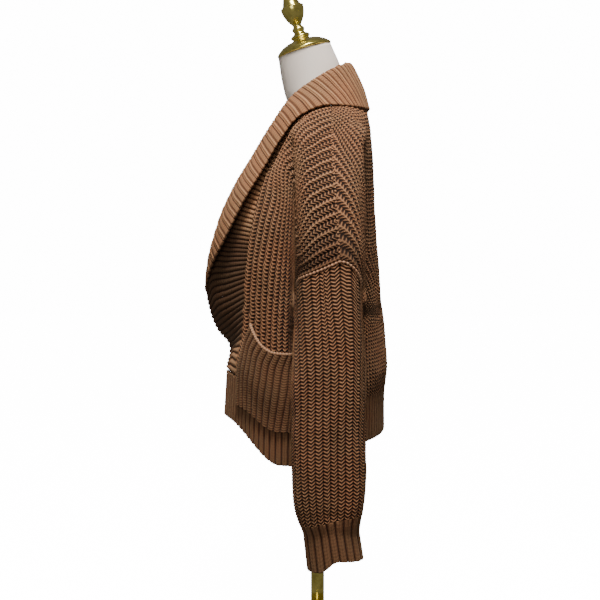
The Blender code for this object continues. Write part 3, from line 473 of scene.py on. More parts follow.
class Wall:
    """A closed knitted wall: a fine outer face in relief, a coarser inner face, and strips at its edges."""

    plain_inner = 0.45  # the height that a plain inner face is coloured as

    def __init__(
        self,
        outer: Array,
        inner: Array,
        weave: Weave,
        height: Array,
        spine: Array | None = None,
        inner_height: Array | None = None,
        hidden: Array | None = None,
        shade: Array | None = None,
        closed: bool = False,
        stride: int = 3,
    ) -> None:
        """Keeps the wall's points.

        Args:
            outer: (columns, rows, 3) points, ordered so that columns x rows points out.
            inner: points behind them, as many.
            weave: stitch places of the points. A closed wall has one more column of them.
            height: 0 in the grooves to 1 on the crests, at each outer point.
            spine: how far the legs run together in the wale's middle, at each outer point.
            inner_height: the heights of an inner face that shows and is as fine as the outer.
            hidden: how far painted shade darkens that inner face, under a fold.
            shade: how far painted shade darkens the outer face, in a crease.
            closed: whether the columns go all the way round.
            stride: every how many columns and rows a plain inner face has a point.
        """
        self.outer, self.inner, self.weave, self.height = outer, inner, weave, height
        self.spine, self.inner_height, self.hidden, self.shade = spine, inner_height, hidden, shade
        self.closed, self.stride = closed, stride if inner_height is None else 1

    def build(self, name: str, material: bpy.types.Material) -> bpy.types.Object:
        """Puts the wall into a mesh object with its stitch map and its height attribute."""
        columns, rows = self.outer.shape[:2]
        wide, s = columns + (1 if self.closed else 0), self.stride
        fine = np.arange(wide * rows).reshape(wide, rows)
        coarse_real = self.inner[::s, ::s]
        coarse_wide = (wide - 1) // s + 1
        coarse_rows = (rows - 1) // s + 1
        coarse = fine.size + np.arange(coarse_wide * coarse_rows).reshape(coarse_wide, coarse_rows)
        quads = [
            np.stack([fine[:-1, :-1], fine[1:, :-1], fine[1:, 1:], fine[:-1, 1:]], -1).reshape(-1, 4),
            np.stack([coarse[:-1, :-1], coarse[:-1, 1:], coarse[1:, 1:], coarse[1:, :-1]], -1).reshape(-1, 4),
        ]
        strips = [self.strip(fine[:, 0], coarse[:, 0], False), self.strip(fine[:, -1], coarse[:, -1], True)]
        if not self.closed:
            strips += [self.strip(fine[0], coarse[0], True), self.strip(fine[-1], coarse[-1], False)]
        real = np.concatenate([np.arange(columns), [0]])[:wide]
        coarse_columns = coarse_real.shape[0]
        coarse_at = np.arange(coarse_wide) % coarse_columns
        to_vertex = np.concatenate(
            [
                (real[:, None] * rows + np.arange(rows)).ravel(),
                (columns * rows + coarse_at[:, None] * coarse_rows + np.arange(coarse_rows)).ravel(),
            ]
        )
        places = np.stack([self.weave.wale, self.weave.course], -1)
        stitch_map = np.concatenate([places.reshape(-1, 2), places[::s, ::s].reshape(-1, 2)])
        vertices = np.concatenate([self.outer.reshape(-1, 3), coarse_real.reshape(-1, 3)])
        plain = np.full(coarse_real.shape[:2], self.plain_inner)
        heights = np.concatenate([self.height.ravel(),
            (plain if self.inner_height is None else self.inner_height).ravel()])
        spines, hidden = np.zeros(len(vertices)), np.zeros(len(vertices))
        if self.spine is not None:
            spines[: self.spine.size] = self.spine.ravel()
        # painted shade: under the collar's fold on the inner face, in the panels' creases on the outer
        if self.hidden is not None:
            hidden[self.height.size :] = self.hidden.ravel()
        if self.shade is not None:
            hidden[: self.shade.size] = self.shade.ravel()
        return mesh_object(name, vertices, quads + strips, material, to_vertex, stitch_map,
            {"height": heights, "spine": spines, "hidden": hidden})

    def strip(self, edge: Array, inner: Array, flip: bool) -> Array:
        """Faces between an edge's fine points and the coarse points behind it, one for each coarse step."""
        s = self.stride
        steps = np.arange(len(inner) - 1)
        outer = edge[(steps * s)[:, None] + np.arange(s + 1)]
        faces = np.concatenate([outer[:, ::-1], inner[:-1, None], inner[1:, None]], axis=1)
        return faces[:, ::-1] if flip else faces


def mesh_object(
    name: str,
    vertices: Array,
    faces: list[Array],
    material: bpy.types.Material,
    to_vertex: Array | None = None,
    stitch_map: Array | None = None,
    layers: dict[str, Array] | None = None,
) -> bpy.types.Object:
    """Makes a smooth-shaded mesh object.

    Args:
        name: its name.
        vertices: its points.
        faces: arrays of faces, each array of one number of corners, as numbers of places.
        material: its material.
        to_vertex: the vertex of each place, where several places share one.
        stitch_map: the (wale, course) of each place.
        layers: named numbers for each vertex.

    Returns:
        The object, at the origin.
    """
    corners = np.concatenate([f.ravel() for f in faces])
    sizes = np.concatenate([np.full(len(f), f.shape[1]) for f in faces])
    mesh = bpy.data.meshes.new(name)
    mesh.vertices.add(len(vertices))
    mesh.vertices.foreach_set("co", np.asarray(vertices, np.float32).ravel())
    mesh.loops.add(len(corners))
    mesh.loops.foreach_set("vertex_index",
        (corners if to_vertex is None else to_vertex[corners]).astype(np.int32))
    mesh.polygons.add(len(sizes))
    mesh.polygons.foreach_set("loop_start", (np.cumsum(sizes) - sizes).astype(np.int32))
    if stitch_map is not None:
        mesh.uv_layers.new(name="stitches").data.foreach_set("uv",
            stitch_map[corners].astype(np.float32).ravel())
    mesh.update(calc_edges=True)
    for layer, values in (layers or {}).items():
        mesh.attributes.new(layer, "FLOAT", "POINT").data.foreach_set("value", np.asarray(values, np.float32))
    mesh.validate()
    mesh.shade_smooth()
    mesh.materials.append(material)
    obj = bpy.data.objects.new(name, mesh)
    bpy.context.scene.collection.objects.link(obj)
    return obj


def mirrored(grid: Array, closed: bool = False) -> Array:
    """Points or normals on the other side, the columns turned round so that they still face out."""
    turned = (grid * (-1, 1, 1))[::-1]
    return np.roll(turned, 1, axis=0) if closed else turned


def crests(rise: Array) -> Array:
    """Relief as 0 in the deepest groove to 1 on the highest crest."""
    return (rise - rise.min()) / max(float(rise.max() - rise.min()), 1e-9)


def dress(obj: bpy.types.Object, node: str) -> bpy.types.Object:
    """Lets a piece stand for its node, which it hides, on the one body there is."""
    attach(obj, "root")
    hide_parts(node)
    LOG.info("%s: %d faces", obj.name, len(obj.data.polygons))
    return obj


# ---------------------------------------------------------------- finishes
class Nodes:
    """A material's node tree, with short ways to add to it."""

    def __init__(self, name: str) -> None:
        """Starts a material that has one Principled shader."""
        self.material = bpy.data.materials.new(name)
        self.material.use_nodes = True
        self.tree = self.material.node_tree
        self.shader = self.tree.nodes["Principled BSDF"]

    def add(self, kind: str, **settings: object) -> bpy.types.Node:
        """Adds a node and sets its own settings."""
        node = self.tree.nodes.new(kind)
        for key, value in settings.items():
            setattr(node, key, value)
        return node

    def join(self, source: bpy.types.NodeSocket, target: bpy.types.NodeSocket) -> None:
        """Links two sockets."""
        self.tree.links.new(source, target)

    def maths(self, operation: str, *values: bpy.types.NodeSocket | float) -> bpy.types.NodeSocket:
        """Adds a Math node on sockets or numbers."""
        node = self.add("ShaderNodeMath", operation=operation)
        for socket, value in zip(node.inputs, values):
            if isinstance(value, (int, float)):
                socket.default_value = value
            else:
                self.join(value, socket)
        return node.outputs[0]

    def noise(self, vector: bpy.types.NodeSocket, scale: float, detail: float = 2.0,
            rough: float = 0.5) -> bpy.types.NodeSocket:
        """Adds a Noise Texture and gives its value."""
        node = self.add("ShaderNodeTexNoise")
        node.inputs["Scale"].default_value = scale
        node.inputs["Detail"].default_value = detail
        node.inputs["Roughness"].default_value = rough
        self.join(vector, node.inputs["Vector"])
        return node.outputs["Fac"]

    def colours(self, fac: bpy.types.NodeSocket,
            stops: tuple[tuple[float, Colour], ...]) -> bpy.types.NodeSocket:
        """Adds a Color Ramp with the given stops."""
        node = self.add("ShaderNodeValToRGB")
        elements = node.color_ramp.elements
        elements[0].position, elements[0].color = stops[0]
        elements[1].position, elements[1].color = stops[-1]
        for position, colour in stops[1:-1]:
            elements.new(position).color = colour
        self.join(fac, node.inputs["Fac"])
        return node.outputs["Color"]

    def mixed(self, fac: bpy.types.NodeSocket | float, first: bpy.types.NodeSocket,
            second: bpy.types.NodeSocket | Colour, blend: str = "MIX") -> bpy.types.NodeSocket:
        """Adds a colour Mix node."""
        node = self.add("ShaderNodeMix", data_type="RGBA", blend_type=blend)
        for socket, value in ((node.inputs[0], fac), (node.inputs[6], first), (node.inputs[7], second)):
            if isinstance(value, (float, int, tuple)):
                socket.default_value = value
            else:
                self.join(value, socket)
        return node.outputs[2]

    def bump(self, height: bpy.types.NodeSocket, distance: float, strength: float = 1.0) -> None:
        """Bends the shader's normal by a height in metres' worth of distance, after any bump before it."""
        node = self.add("ShaderNodeBump")
        node.inputs["Distance"].default_value = distance
        node.inputs["Strength"].default_value = strength
        self.join(height, node.inputs["Height"])
        before = self.shader.inputs["Normal"].links
        if before:
            self.join(before[0].from_socket, node.inputs["Normal"])
        self.join(node.outputs["Normal"], self.shader.inputs["Normal"])


@dataclass(frozen=True)
class Yarn:
    """Brushed caramel yarn with painted shade: nearly black in holes, dark in folds and creases, lighter on
    crests.
    """

    name: str = "caramel_yarn"
    stitch: Stitch = FISHERMAN
    legs: float = 1.0  # how much the courses show
    groove: float = 0.70  # how much painted shade darkens the grooves between the wales
    sharp: float = 1.5
    by_height: float = 0.25  # how much the colour's painted shade follows the surface's height rather than the stitches
    # colours by the knit's depth, with painted shade: nearly black in the holes, lightest on the crests
    hole_shade: Colour = (0.006, 0.002, 0.001, 1.0)
    deep_shade: Colour = (0.070, 0.027, 0.012, 1.0)
    middle: Colour = (0.200, 0.088, 0.041, 1.0)
    crest: Colour = (0.395, 0.200, 0.102, 1.0)
    # the colour that painted shade darkens the yarn towards, under a fold and in a crease
    painted_shade_colour: Colour = (0.012, 0.005, 0.0025, 1.0)
    warm: Colour = (1.06, 0.96, 0.90, 1.0)
    cool: Colour = (0.95, 1.0, 0.98, 1.0)

    def build(self) -> bpy.types.Material:
        """Makes the material."""
        n = Nodes(self.name)
        parts = n.add("ShaderNodeSeparateXYZ")
        n.join(n.add("ShaderNodeUVMap", uv_map="stitches").outputs["UV"], parts.inputs[0])
        wale, course = parts.outputs[0], parts.outputs[1]
        a = n.maths("ABSOLUTE", n.maths("SUBTRACT", n.maths("MULTIPLY", n.maths("FRACT", wale), 2.0), 1.0))
        phase = n.maths("SUBTRACT", course, n.maths("MULTIPLY", a, self.stitch.lean))
        wave = n.maths("MULTIPLY_ADD", n.maths("COSINE", n.maths("MULTIPLY", phase, 2 * math.pi)), 0.5, 0.5)
        leg = n.maths("MULTIPLY_ADD", n.maths("POWER", wave, self.sharp), self.legs, 1 - self.legs)
        spine = n.add("ShaderNodeAttribute", attribute_name="spine").outputs["Fac"]
        near = n.maths("MULTIPLY", n.maths("POWER", n.maths("DIVIDE", a, self.stitch.spine_width), 2.0), -1.0)
        joined = n.maths("MULTIPLY", n.maths("EXPONENT", near), spine)
        lit = n.maths("ADD", leg, n.maths("MULTIPLY", n.maths("SUBTRACT", 1.0, leg), joined))
        # darker towards the grooves, as painted shade; the same shape also bends the normal
        stands = n.maths("SUBTRACT", 1.0, n.maths("MULTIPLY", n.maths("POWER", a, 5.0), self.groove))
        shape = n.maths("MULTIPLY", lit, stands)
        raised = n.add("ShaderNodeAttribute", attribute_name="height").outputs["Fac"]
        place = n.add("ShaderNodeTexCoord").outputs["Object"]
        fluff = n.noise(place, 900.0, 3.0, 0.7)
        patch = n.noise(place, 16.0, 3.0, 0.6)
        depth = n.maths("ADD", n.maths("MULTIPLY", raised, self.by_height),
            n.maths("MULTIPLY", shape, 1 - self.by_height))
        depth = n.maths("ADD", depth, n.maths("MULTIPLY_ADD", fluff, 0.34, -0.17))
        # painted shade: the colour runs from nearly black in the holes to the yarn's own on the crests
        base = n.colours(depth, ((0.10, self.hole_shade), (0.30, self.deep_shade), (0.60, self.middle),
            (0.98, self.crest)))
        tint = n.colours(patch, ((0.35, self.warm), (0.65, self.cool)))
        # painted shade: darker under the collar's fold and in the panels' creases
        hidden = n.add("ShaderNodeAttribute", attribute_name="hidden").outputs["Fac"]
        base = n.mixed(hidden, n.mixed(1.0, base, tint, "MULTIPLY"), self.painted_shade_colour)
        n.join(base, n.shader.inputs["Base Color"])
        n.bump(shape, 0.0009)
        n.bump(fluff, 0.0004)
        n.shader.inputs["Roughness"].default_value = 0.9
        n.shader.inputs["Specular IOR Level"].default_value = 0.2
        n.shader.inputs["Sheen Weight"].default_value = 0.12
        n.shader.inputs["Sheen Roughness"].default_value = 0.5
        n.shader.inputs["Sheen Tint"].default_value = (0.9, 0.62, 0.38, 1.0)
        return n.material


@dataclass(frozen=True)
class Cover:
    """The form's stretched cotton jersey: off-white, finely ribbed, a little soiled."""

    name: str = "form_jersey"
    light: Colour = (0.88, 0.77, 0.66, 1.0)
    shade: Colour = (0.83, 0.71, 0.60, 1.0)

    def build(self) -> bpy.types.Material:
        """Makes the material."""
        n = Nodes(self.name)
        place = n.add("ShaderNodeTexCoord").outputs["Object"]
        patch = n.noise(place, 9.0, 4.0, 0.6)
        n.join(n.colours(patch, ((0.3, self.shade), (0.7, self.light))), n.shader.inputs["Base Color"])
        weave = n.add("ShaderNodeTexWave", wave_type="BANDS", bands_direction="X")
        weave.inputs["Scale"].default_value = 500.0
        weave.inputs["Distortion"].default_value = 1.5
        n.join(place, weave.inputs["Vector"])
        n.bump(weave.outputs["Fac"], 0.0001)
        n.bump(n.noise(place, 1400.0, 2.0), 0.0001)
        n.shader.inputs["Roughness"].default_value = 0.62
        n.shader.inputs["Sheen Weight"].default_value = 0.15
        return n.material


@dataclass(frozen=True)
class Brass:
    """Polished brass with slight tarnish and fine turning marks."""

    name: str = "polished_brass"
    bright: Colour = (0.90, 0.74, 0.20, 1.0)
    tarnish: Colour = (0.52, 0.42, 0.09, 1.0)

    def build(self) -> bpy.types.Material:
        """Makes the material."""
        n = Nodes(self.name)
        place = n.add("ShaderNodeTexCoord").outputs["Object"]
        stain = n.noise(place, 60.0, 4.0, 0.6)
        n.join(n.colours(stain, ((0.30, self.tarnish), (0.60, self.bright))), n.shader.inputs["Base Color"])
        rough = n.add("ShaderNodeMapRange")
        rough.inputs["To Min"].default_value = 0.12
        rough.inputs["To Max"].default_value = 0.28
        n.join(n.noise(place, 220.0, 3.0), rough.inputs["Value"])
        n.join(rough.outputs["Result"], n.shader.inputs["Roughness"])
        n.bump(n.noise(place, 700.0, 2.0), 0.00003)
        n.shader.inputs["Metallic"].default_value = 1.0
        return n.material


@dataclass(frozen=True)
class Paper:
    """The studio's plain white paper, lit evenly from behind."""

    name: str = "studio_paper"
    glow: float = 15.0

    def build(self) -> bpy.types.Material:
        """Makes the material."""
        n = Nodes(self.name)
        n.shader.inputs["Base Color"].default_value = (0.9, 0.9, 0.9, 1.0)
        n.shader.inputs["Roughness"].default_value = 0.9
        n.shader.inputs["Emission Color"].default_value = (1.0, 1.0, 1.0, 1.0)
        n.shader.inputs["Emission Strength"].default_value = self.glow
        return n.material


# ---------------------------------------------------------------- the studio
@dataclass
class Studio:
    """The camera at the wearer's left, pale paper all round and soft lights."""

    eye: tuple[float, float, float] = (1.95, -0.0325, 0.80)
    dip: float = math.atan2(93, 1080)  # how far the camera looks down
    lens: float = 64.8
    paper_reach: float = 6.0
    surround: float = 0.17

    def camera(self) -> None:
        """Makes the camera, which looks along -X."""
        data = bpy.data.cameras.new("camera")
        data.lens, data.sensor_width = self.lens, 36.0
        camera = bpy.data.objects.new("camera", data)
        camera.location = self.eye
        camera.rotation_euler = (math.pi / 2 - self.dip, 0.0, math.pi / 2)
        bpy.context.scene.collection.objects.link(camera)
        bpy.context.scene.camera = camera

    def light(self, name: str, place: tuple[float, float, float], aim: tuple[float, float, float],
            size: float, watts: float, colour: tuple[float, float, float] = (1.0, 1.0, 1.0)) -> None:
        """Hangs a square soft light that looks at a point."""
        data = bpy.data.lights.new(name, "AREA")
        data.size, data.energy, data.color = size, watts, colour
        lamp = bpy.data.objects.new(name, data)
        away = np.array(place) - np.array(aim)
        lamp.location = place
        lamp.rotation_euler = (math.acos(away[2] / np.linalg.norm(away)), 0.0,
            math.atan2(away[1], away[0]) + math.pi / 2)
        bpy.context.scene.collection.objects.link(lamp)

    def build(self) -> None:
        """Makes the camera, the paper floor, the lights and the pale surroundings."""
        self.camera()
        world = bpy.data.worlds.new("surroundings")
        world.use_nodes = True
        tree = world.node_tree
        seen = tree.nodes.new("ShaderNodeLightPath").outputs["Is Camera Ray"]
        strength = tree.nodes.new("ShaderNodeMapRange")
        strength.inputs["To Min"].default_value = self.surround
        strength.inputs["To Max"].default_value = Paper.glow
        tree.links.new(seen, strength.inputs["Value"])
        tree.nodes["Background"].inputs["Color"].default_value = (1.0, 1.0, 1.0, 1.0)
        tree.links.new(strength.outputs["Result"], tree.nodes["Background"].inputs["Strength"])
        bpy.context.scene.world = world
        reach = self.paper_reach
        corners = np.array([(-reach, -reach, -0.0005), (reach, -reach, -0.0005), (reach, reach, -0.0005),
            (-reach, reach, -0.0005)])
        floor = mesh_object("paper_floor", corners, [np.array([[0, 1, 2, 3]])], Paper().build())
        floor.visible_diffuse = floor.visible_glossy = False
        self.light("key", (1.0, -0.05, 3.1), (0.1, 0.0, 0.75), 0.7, 126.0)
        self.light("fill", (2.6, -0.3, 1.5), (0.1, 0.0, 0.7), 1.0, 15.0)


# ---------------------------------------------------------------- panels
@dataclass
class Panels:
    """The two fronts and the back, in fisherman's rib."""

    chart: Chart
    yarn: bpy.types.Material
    stitch: Stitch = FISHERMAN
    columns_a_wale: int = 8
    front_rows: int = 401
    back_rows: int = 265
    back_columns: int = 5
    # of the front for each two narrow wales of the dropped shoulder, and of the back for each wale
    drop_columns: tuple[int, int] = (12, 5)
    # shares between which the courses come to lie square to the wales of the dropped shoulder
    turn: tuple[float, float] = (0.10, 0.30)
    square_from: float = 0.55
    body_spine: float = 0.60
    seam_out: float = 0.0006
    # runs over which the armhole comes to lie in a crease, and out of it again, where painted shade darkens
    # it
    crease_runs: tuple[float, float, float, float] = (0.530, 0.620, 0.720, 0.880)
    crease_wales: tuple[float, float] = (1.0, 4.0)
    # how much painted shade darkens the crease
    painted_crease_shade: float = 0.45
    # widths of a wale under which painted shade darkens its squeezed stitches in the crease
    crowding: tuple[float, float] = (0.0070, 0.0035)
    ripple_height: float = 0.0010
    fine_height: float = 0.0003
    calm_wales: float = 1.5  # the unevenness dies away over these at the panel's sides
    calm_share: float = 0.06  # and over this at its top and bottom

    def courses(self, points: Array, shares: Array, wales: Array) -> Array:
        """Course numbers, by the distance from the hem, and in the dropped shoulder square to the wales."""
        from_hem = length_along(points, axis=1)
        ahead = normalised(np.gradient(points, axis=1))
        step = (np.diff(points, axis=0) * (ahead[1:] + ahead[:-1]) / 2).sum(-1)
        lag = (step - np.diff(from_hem, axis=0))[:, shares > self.square_from].mean(axis=1)
        lag = np.where(wales[:-1] < self.chart.drop_wales, lag, 0)
        offset = np.concatenate([-lag[::-1].cumsum()[::-1], [0.0]])
        return (from_hem + ramp(self.turn, shares)[None] * offset[:, None]) / self.stitch.course

    def face(self, half: Half) -> tuple[Array, Array, Weave, Array, Array]:
        """The outer face of the left front or half of the back, its spines, and the painted shade of its
        crease.

        The columns run from its edge to the armhole.
        """
        front = half is Half.FRONT
        drop = self.chart.drop_wales
        count = drop + (self.chart.front_wales if front else self.chart.back_wales)
        each = self.columns_a_wale if front else self.back_columns
        dropped = self.drop_columns[0 if front else 1]
        body = drop + np.arange(each * (count - drop) + 1) / each
        wales = np.concatenate([np.arange(dropped * drop) / dropped, body])
        shares = np.linspace(0, 1, self.front_rows if front else self.back_rows)
        across, run = self.chart.panel(half, wales, shares)
        points = self.chart.place(across, run)
        # in front the dropped shoulder's wales are two each, one of them with a spine
        shown = np.minimum(2 * wales - drop, wales) if front else wales
        weave = Weave(shown[:, None] + 0 * run, self.courses(points, shares, wales))
        dropped_spine = np.floor(shown) % 2 < 0.5 if front else 0.9
        spine = np.where(wales < drop, dropped_spine, self.body_spine)[:, None] + 0 * run
        normal = self.chart.normal(across, run)
        ripple = Unevenness(11 if front else 12).at(wales[:, None] / 3.0, weave.course / 9.0)
        fine = Unevenness(21 if front else 22).at(wales[:, None] / 1.0, weave.course / 3.0)
        beside = np.minimum(wales, count - wales)[:, None] / self.calm_wales
        edge = np.minimum(beside, np.minimum(shares, 1 - shares)[None] / self.calm_share)
        uneven = self.ripple_height * ripple + self.fine_height * fine
        points = points + normal * (uneven * ease(edge))[..., None]
        # painted shade in the crease beside the armhole, and where the wales are squeezed together
        apart = np.linalg.norm(np.gradient(points, axis=0), axis=-1) / np.gradient(wales)[:, None]
        creased = ramp(self.crease_runs[:2], run) * (1 - ramp(self.crease_runs[2:], run))
        near = 1 - ramp(self.crease_wales, wales)[:, None]
        shade = self.painted_crease_shade * creased * np.maximum(near, ramp(self.crowding, apart))
        return points[::-1], normal[::-1], weave.turned(), spine[::-1], shade[::-1]

    def relief(self, weave: Weave, spine: Array) -> Array:
        """The knit's relief, which dies where the courses crowd together."""
        crowd = np.abs(np.gradient(weave.course, axis=0) / np.gradient(weave.wale, axis=0))
        return self.stitch.relief(weave.wale, weave.course, spine) * (1 - 0.4 * ramp((1.6, 3.2), crowd))

    def build(self) -> None:
        """Makes the three panels."""
        points, normal, weave, spine, shade = self.face(Half.FRONT)
        rise = self.relief(weave, spine)
        for side in Side:
            left = side is Side.LEFT
            outer, inner = points + rise[..., None] * normal, points - WALL * normal
            if not left:
                outer, inner, weave = mirrored(outer), mirrored(inner), weave.turned()
                rise, spine, shade = rise[::-1], spine[::-1], shade[::-1]
            piece = Wall(outer, inner, weave, crests(rise), spine,
                shade=shade).build(f"front_{side.value}_knit", self.yarn)
            dress(piece, f"front_{side.value}")
            self.shoulder_seam(side)
        self.build_back(*self.face(Half.BACK))

    def shoulder_seam(self, side: Side) -> bpy.types.Object:
        """Makes the row of stitches that joins a front to the back along the shoulder."""
        run = np.linspace(0.718, self.chart.neck - 0.004, 300)
        normal = self.chart.normal(0 * run, run)
        path = self.chart.place(0 * run, run) + self.seam_out * normal
        if side is Side.RIGHT:
            path, normal = path * (-1, 1, 1), normal * (-1, 1, 1)
        seam = Chain(radius=0.0014, bead=self.stitch.course).build(f"shoulder_{side.value}_seam", path,
            normal, self.yarn)
        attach(seam, "root")
        return seam

    def build_back(self, points: Array, normal: Array, weave: Weave, spine: Array, shade: Array) -> None:
        """Joins the back's left half, whose columns end at the centre, to its mirror image."""
        points, normal, spine, shade = points[::-1].copy(), normal[::-1].copy(), spine[::-1], shade[::-1]
        weave = weave.turned()
        points[-1, :, 0] = 0
        normal[-1, :, 0] = 0
        normal[-1] = normalised(normal[-1])
        rise = self.relief(weave, spine)
        points = np.concatenate([points, mirrored(points)[1:]])
        normal = np.concatenate([normal, mirrored(normal)[1:]])
        wale = np.concatenate([weave.wale, 2 * weave.wale[-1:] - weave.wale[::-1][1:]])
        course = np.concatenate([weave.course, weave.course[::-1][1:]])
        rise, spine, shade = (np.concatenate([v, v[::-1][1:]]) for v in (rise, spine, shade))
        outer, inner = points + rise[..., None] * normal, points - WALL * normal
        piece = Wall(outer, inner, Weave(wale, course), crests(rise), spine, shade=shade).build("back_knit",
            self.yarn)
        dress(piece, "back")


# ---------------------------------------------------------------- sleeves and cuffs
@dataclass
class Sleeves:
    """Both sleeves in fisherman's rib, and their cuffs."""

    chart: Chart
    yarn: bpy.types.Material
    cuff_yarn: bpy.types.Material
    welt_yarn: bpy.types.Material
    stitch: Stitch = FISHERMAN
    cuff_stitch: Stitch = BAND_RIB
    sections: Table = Table(
        ("height", "inner", "outer", "front", "back"),
        (
            (0.280, 0.2440, 0.3020, -0.0262, 0.0602),
            (0.290, 0.2430, 0.3035, -0.0285, 0.0612),
            (0.305, 0.2405, 0.3085, -0.0345, 0.0630),
            (0.325, 0.2385, 0.3120, -0.0390, 0.0665),
            (0.350, 0.2370, 0.3130, -0.0425, 0.0698),
            (0.420, 0.2330, 0.3120, -0.0452, 0.0700),
            (0.500, 0.2240, 0.3080, -0.0450, 0.0710),
            (0.560, 0.2110, 0.3030, -0.0450, 0.0725),
            (0.620, 0.2050, 0.2970, -0.0450, 0.0725),
            (0.720, 0.2000, 0.2830, -0.0450, 0.0710),
        ),
    )
    round_match: tuple = (
        (0.0, 0.0), (0.06, 0.065), (0.13, 0.135), (0.17, 0.175), (0.23, 0.225), (0.32, 0.30), (0.42, 0.385),
        (0.546, 0.505), (0.63, 0.595), (0.73, 0.705), (0.82, 0.81), (0.92, 0.92), (1.0, 1.0),
    )
    roundness: float = 3.0
    wales: int = 28
    columns_a_wale: int = 6
    courses: int = 70
    rows: int = 301
    peak: float = 0.0290  # y of the armhole's top
    even_at: float = 0.45  # height at which the wales are evenly spaced
    end: float = 0.3022
    end_rises: float = 0.0160  # how much higher the sleeve ends at its back
    pace: float = 1.15
    blend: float = 0.45
    dent: float = 0.007
    cuff_wales: int = 21
    cuff_low: tuple[float, float] = (0.2280, 0.2458)
    cuff_swing: float = 0.0068
    # heights under which the cuff keeps its width and swings back
    cuff_hangs: tuple[float, float] = (0.2858, 0.2898)
    cuff_rises: tuple[float, float] = (-0.009, 0.021)  # depths over which its lower edge rises
    cuff_columns: int = 8
    cuff_rows: int = 31
    cuff_courses: int = 12
    underarm: tuple[float, float] = (0.600, 0.655)  # heights under which the sleeve hangs outside the panels
    underarm_in: float = 0.0040
    underarm_out: float = 0.0045
    held_share: float = 0.10  # of the sleeve's length that keeps the armhole's normals
    ripple_height: float = 0.0011
    fine_height: float = 0.0003
    calm_share: float = 0.06
    welt_out: float = 0.0014
    welt_shows: tuple[float, float] = (0.665, 0.688)  # heights between which the welt comes out of the seam

    def ring(self, height: Array, share: Array) -> Array:
        """Points of the sleeve at a height and a share round it: a superellipse, hollow down its outside."""
        height, share = np.broadcast_arrays(np.asarray(height, float), np.asarray(share, float))
        inner, outer, front, back = (self.sections.read(n, height) for n in self.sections.columns[1:])
        start = math.asin((self.peak - 0.0125) / 0.0575)
        angle = start - 2 * math.pi * share
        power = 2 / self.roundness
        c, s = np.cos(angle), np.sin(angle)
        x = (inner + outer) / 2 + (outer - inner) / 2 * np.sign(c) * np.abs(c) ** power
        y = (front + back) / 2 + (back - front) / 2 * np.sign(s) * np.abs(s) ** power
        dent = self.dent * np.exp(-(((y - 0.0220) / 0.016) ** 2)) * ramp((0.1, 0.5), c)
        dent = dent * (1 - ramp((0.42, 0.50), height)) * ramp((0.275, 0.325), height)
        return np.stack([x - dent, y, height], -1)

    def ends(self, share: Array) -> Array:
        """Heights at which the sleeve ends and the cuff begins, at shares round it."""
        return self.end + self.end_rises * ramp((-0.030, 0.062), self.ring(self.end, share)[..., 1])

    def evenly_round(self, columns: int) -> Array:
        """Shares round the sleeve that are evenly spaced along its outline."""
        shares = np.linspace(0, 1, 8 * columns + 1)
        length = length_along(self.ring(self.even_at, shares))
        return np.interp(np.arange(columns) / columns * length[-1], length, shares)

    def armhole(self, count: int = 400) -> tuple[Array, Array]:
        """The armhole's points and outward normals, from its peak down the front and up the back."""
        shares = np.linspace(1, self.chart.underarm_share, count)
        across, run = [], []
        for half in Half:
            a, r = self.chart.panel(half, [0.0], shares[::-1])
            a, r = (a[0][::-1], r[0][::-1]) if half is Half.FRONT else (a[0][1:], r[0][1:])
            across.append(a)
            run.append(r)
        across, run = np.concatenate(across), np.concatenate(run)
        return self.chart.place(across, run), self.chart.normal(across, run)

    def sleeve(self) -> tuple[Array, Array, Weave]:
        """The left sleeve's outer face, columns from below the armhole's peak to the front, rows down."""
        loop, loop_normal = self.armhole()
        length = length_along(loop)
        columns = self.wales * self.columns_a_wale
        share = self.evenly_round(columns)
        spot = curve_through(*np.array(self.round_match).T, share) * length[-1]
        top, top_normal = interpolated(spot, length,
            loop), normalised(interpolated(spot, length, loop_normal))
        low = 1 - ramp(self.underarm, top[:, 2])
        tangent = normalised(np.roll(top, -1, axis=0) - np.roll(top, 1, axis=0))
        ahead = 2.0 * GAP - (2.0 * GAP + self.underarm_in) * low
        top = top + np.cross(top_normal, tangent) * ahead[:,
            None] + top_normal * (self.underarm_out * low)[:, None]
        down = np.linspace(0, 1, self.rows) ** self.pace
        height = top[:, 2:] + (self.ends(share)[:, None] + GAP / 2 - top[:, 2:]) * down[None]
        fade = 1 - ease(down / self.blend)
        grid = self.ring(height, share[:, None]) + (top - self.ring(top[:, 2], share))[:, None] * fade[None,
            :, None]
        normal = normals_round(grid)
        held = ((1 - low)[:, None] * np.clip(1 - down / self.held_share, 0, 1)[None])[..., None]
        normal = normalised(normal * (1 - held) + top_normal[:, None] * held)
        courses = self.courses
        wale = self.wales * np.arange(columns + 1) / columns
        ripple = Unevenness(31).at(wale[:-1, None] / 2.6, down[None] * courses / 9.0)
        fine = Unevenness(32).at(wale[:-1, None], down[None] * courses / 3.0)
        hold = np.minimum(down, 1 - down)[None] / self.calm_share
        uneven = self.ripple_height * ripple + self.fine_height * fine
        grid = grid + normal * (uneven * ease(hold))[..., None]
        return grid, normal, Weave(wale[:, None] + 0 * down[None],
            courses * (1 - down)[None] + 0 * wale[:, None])

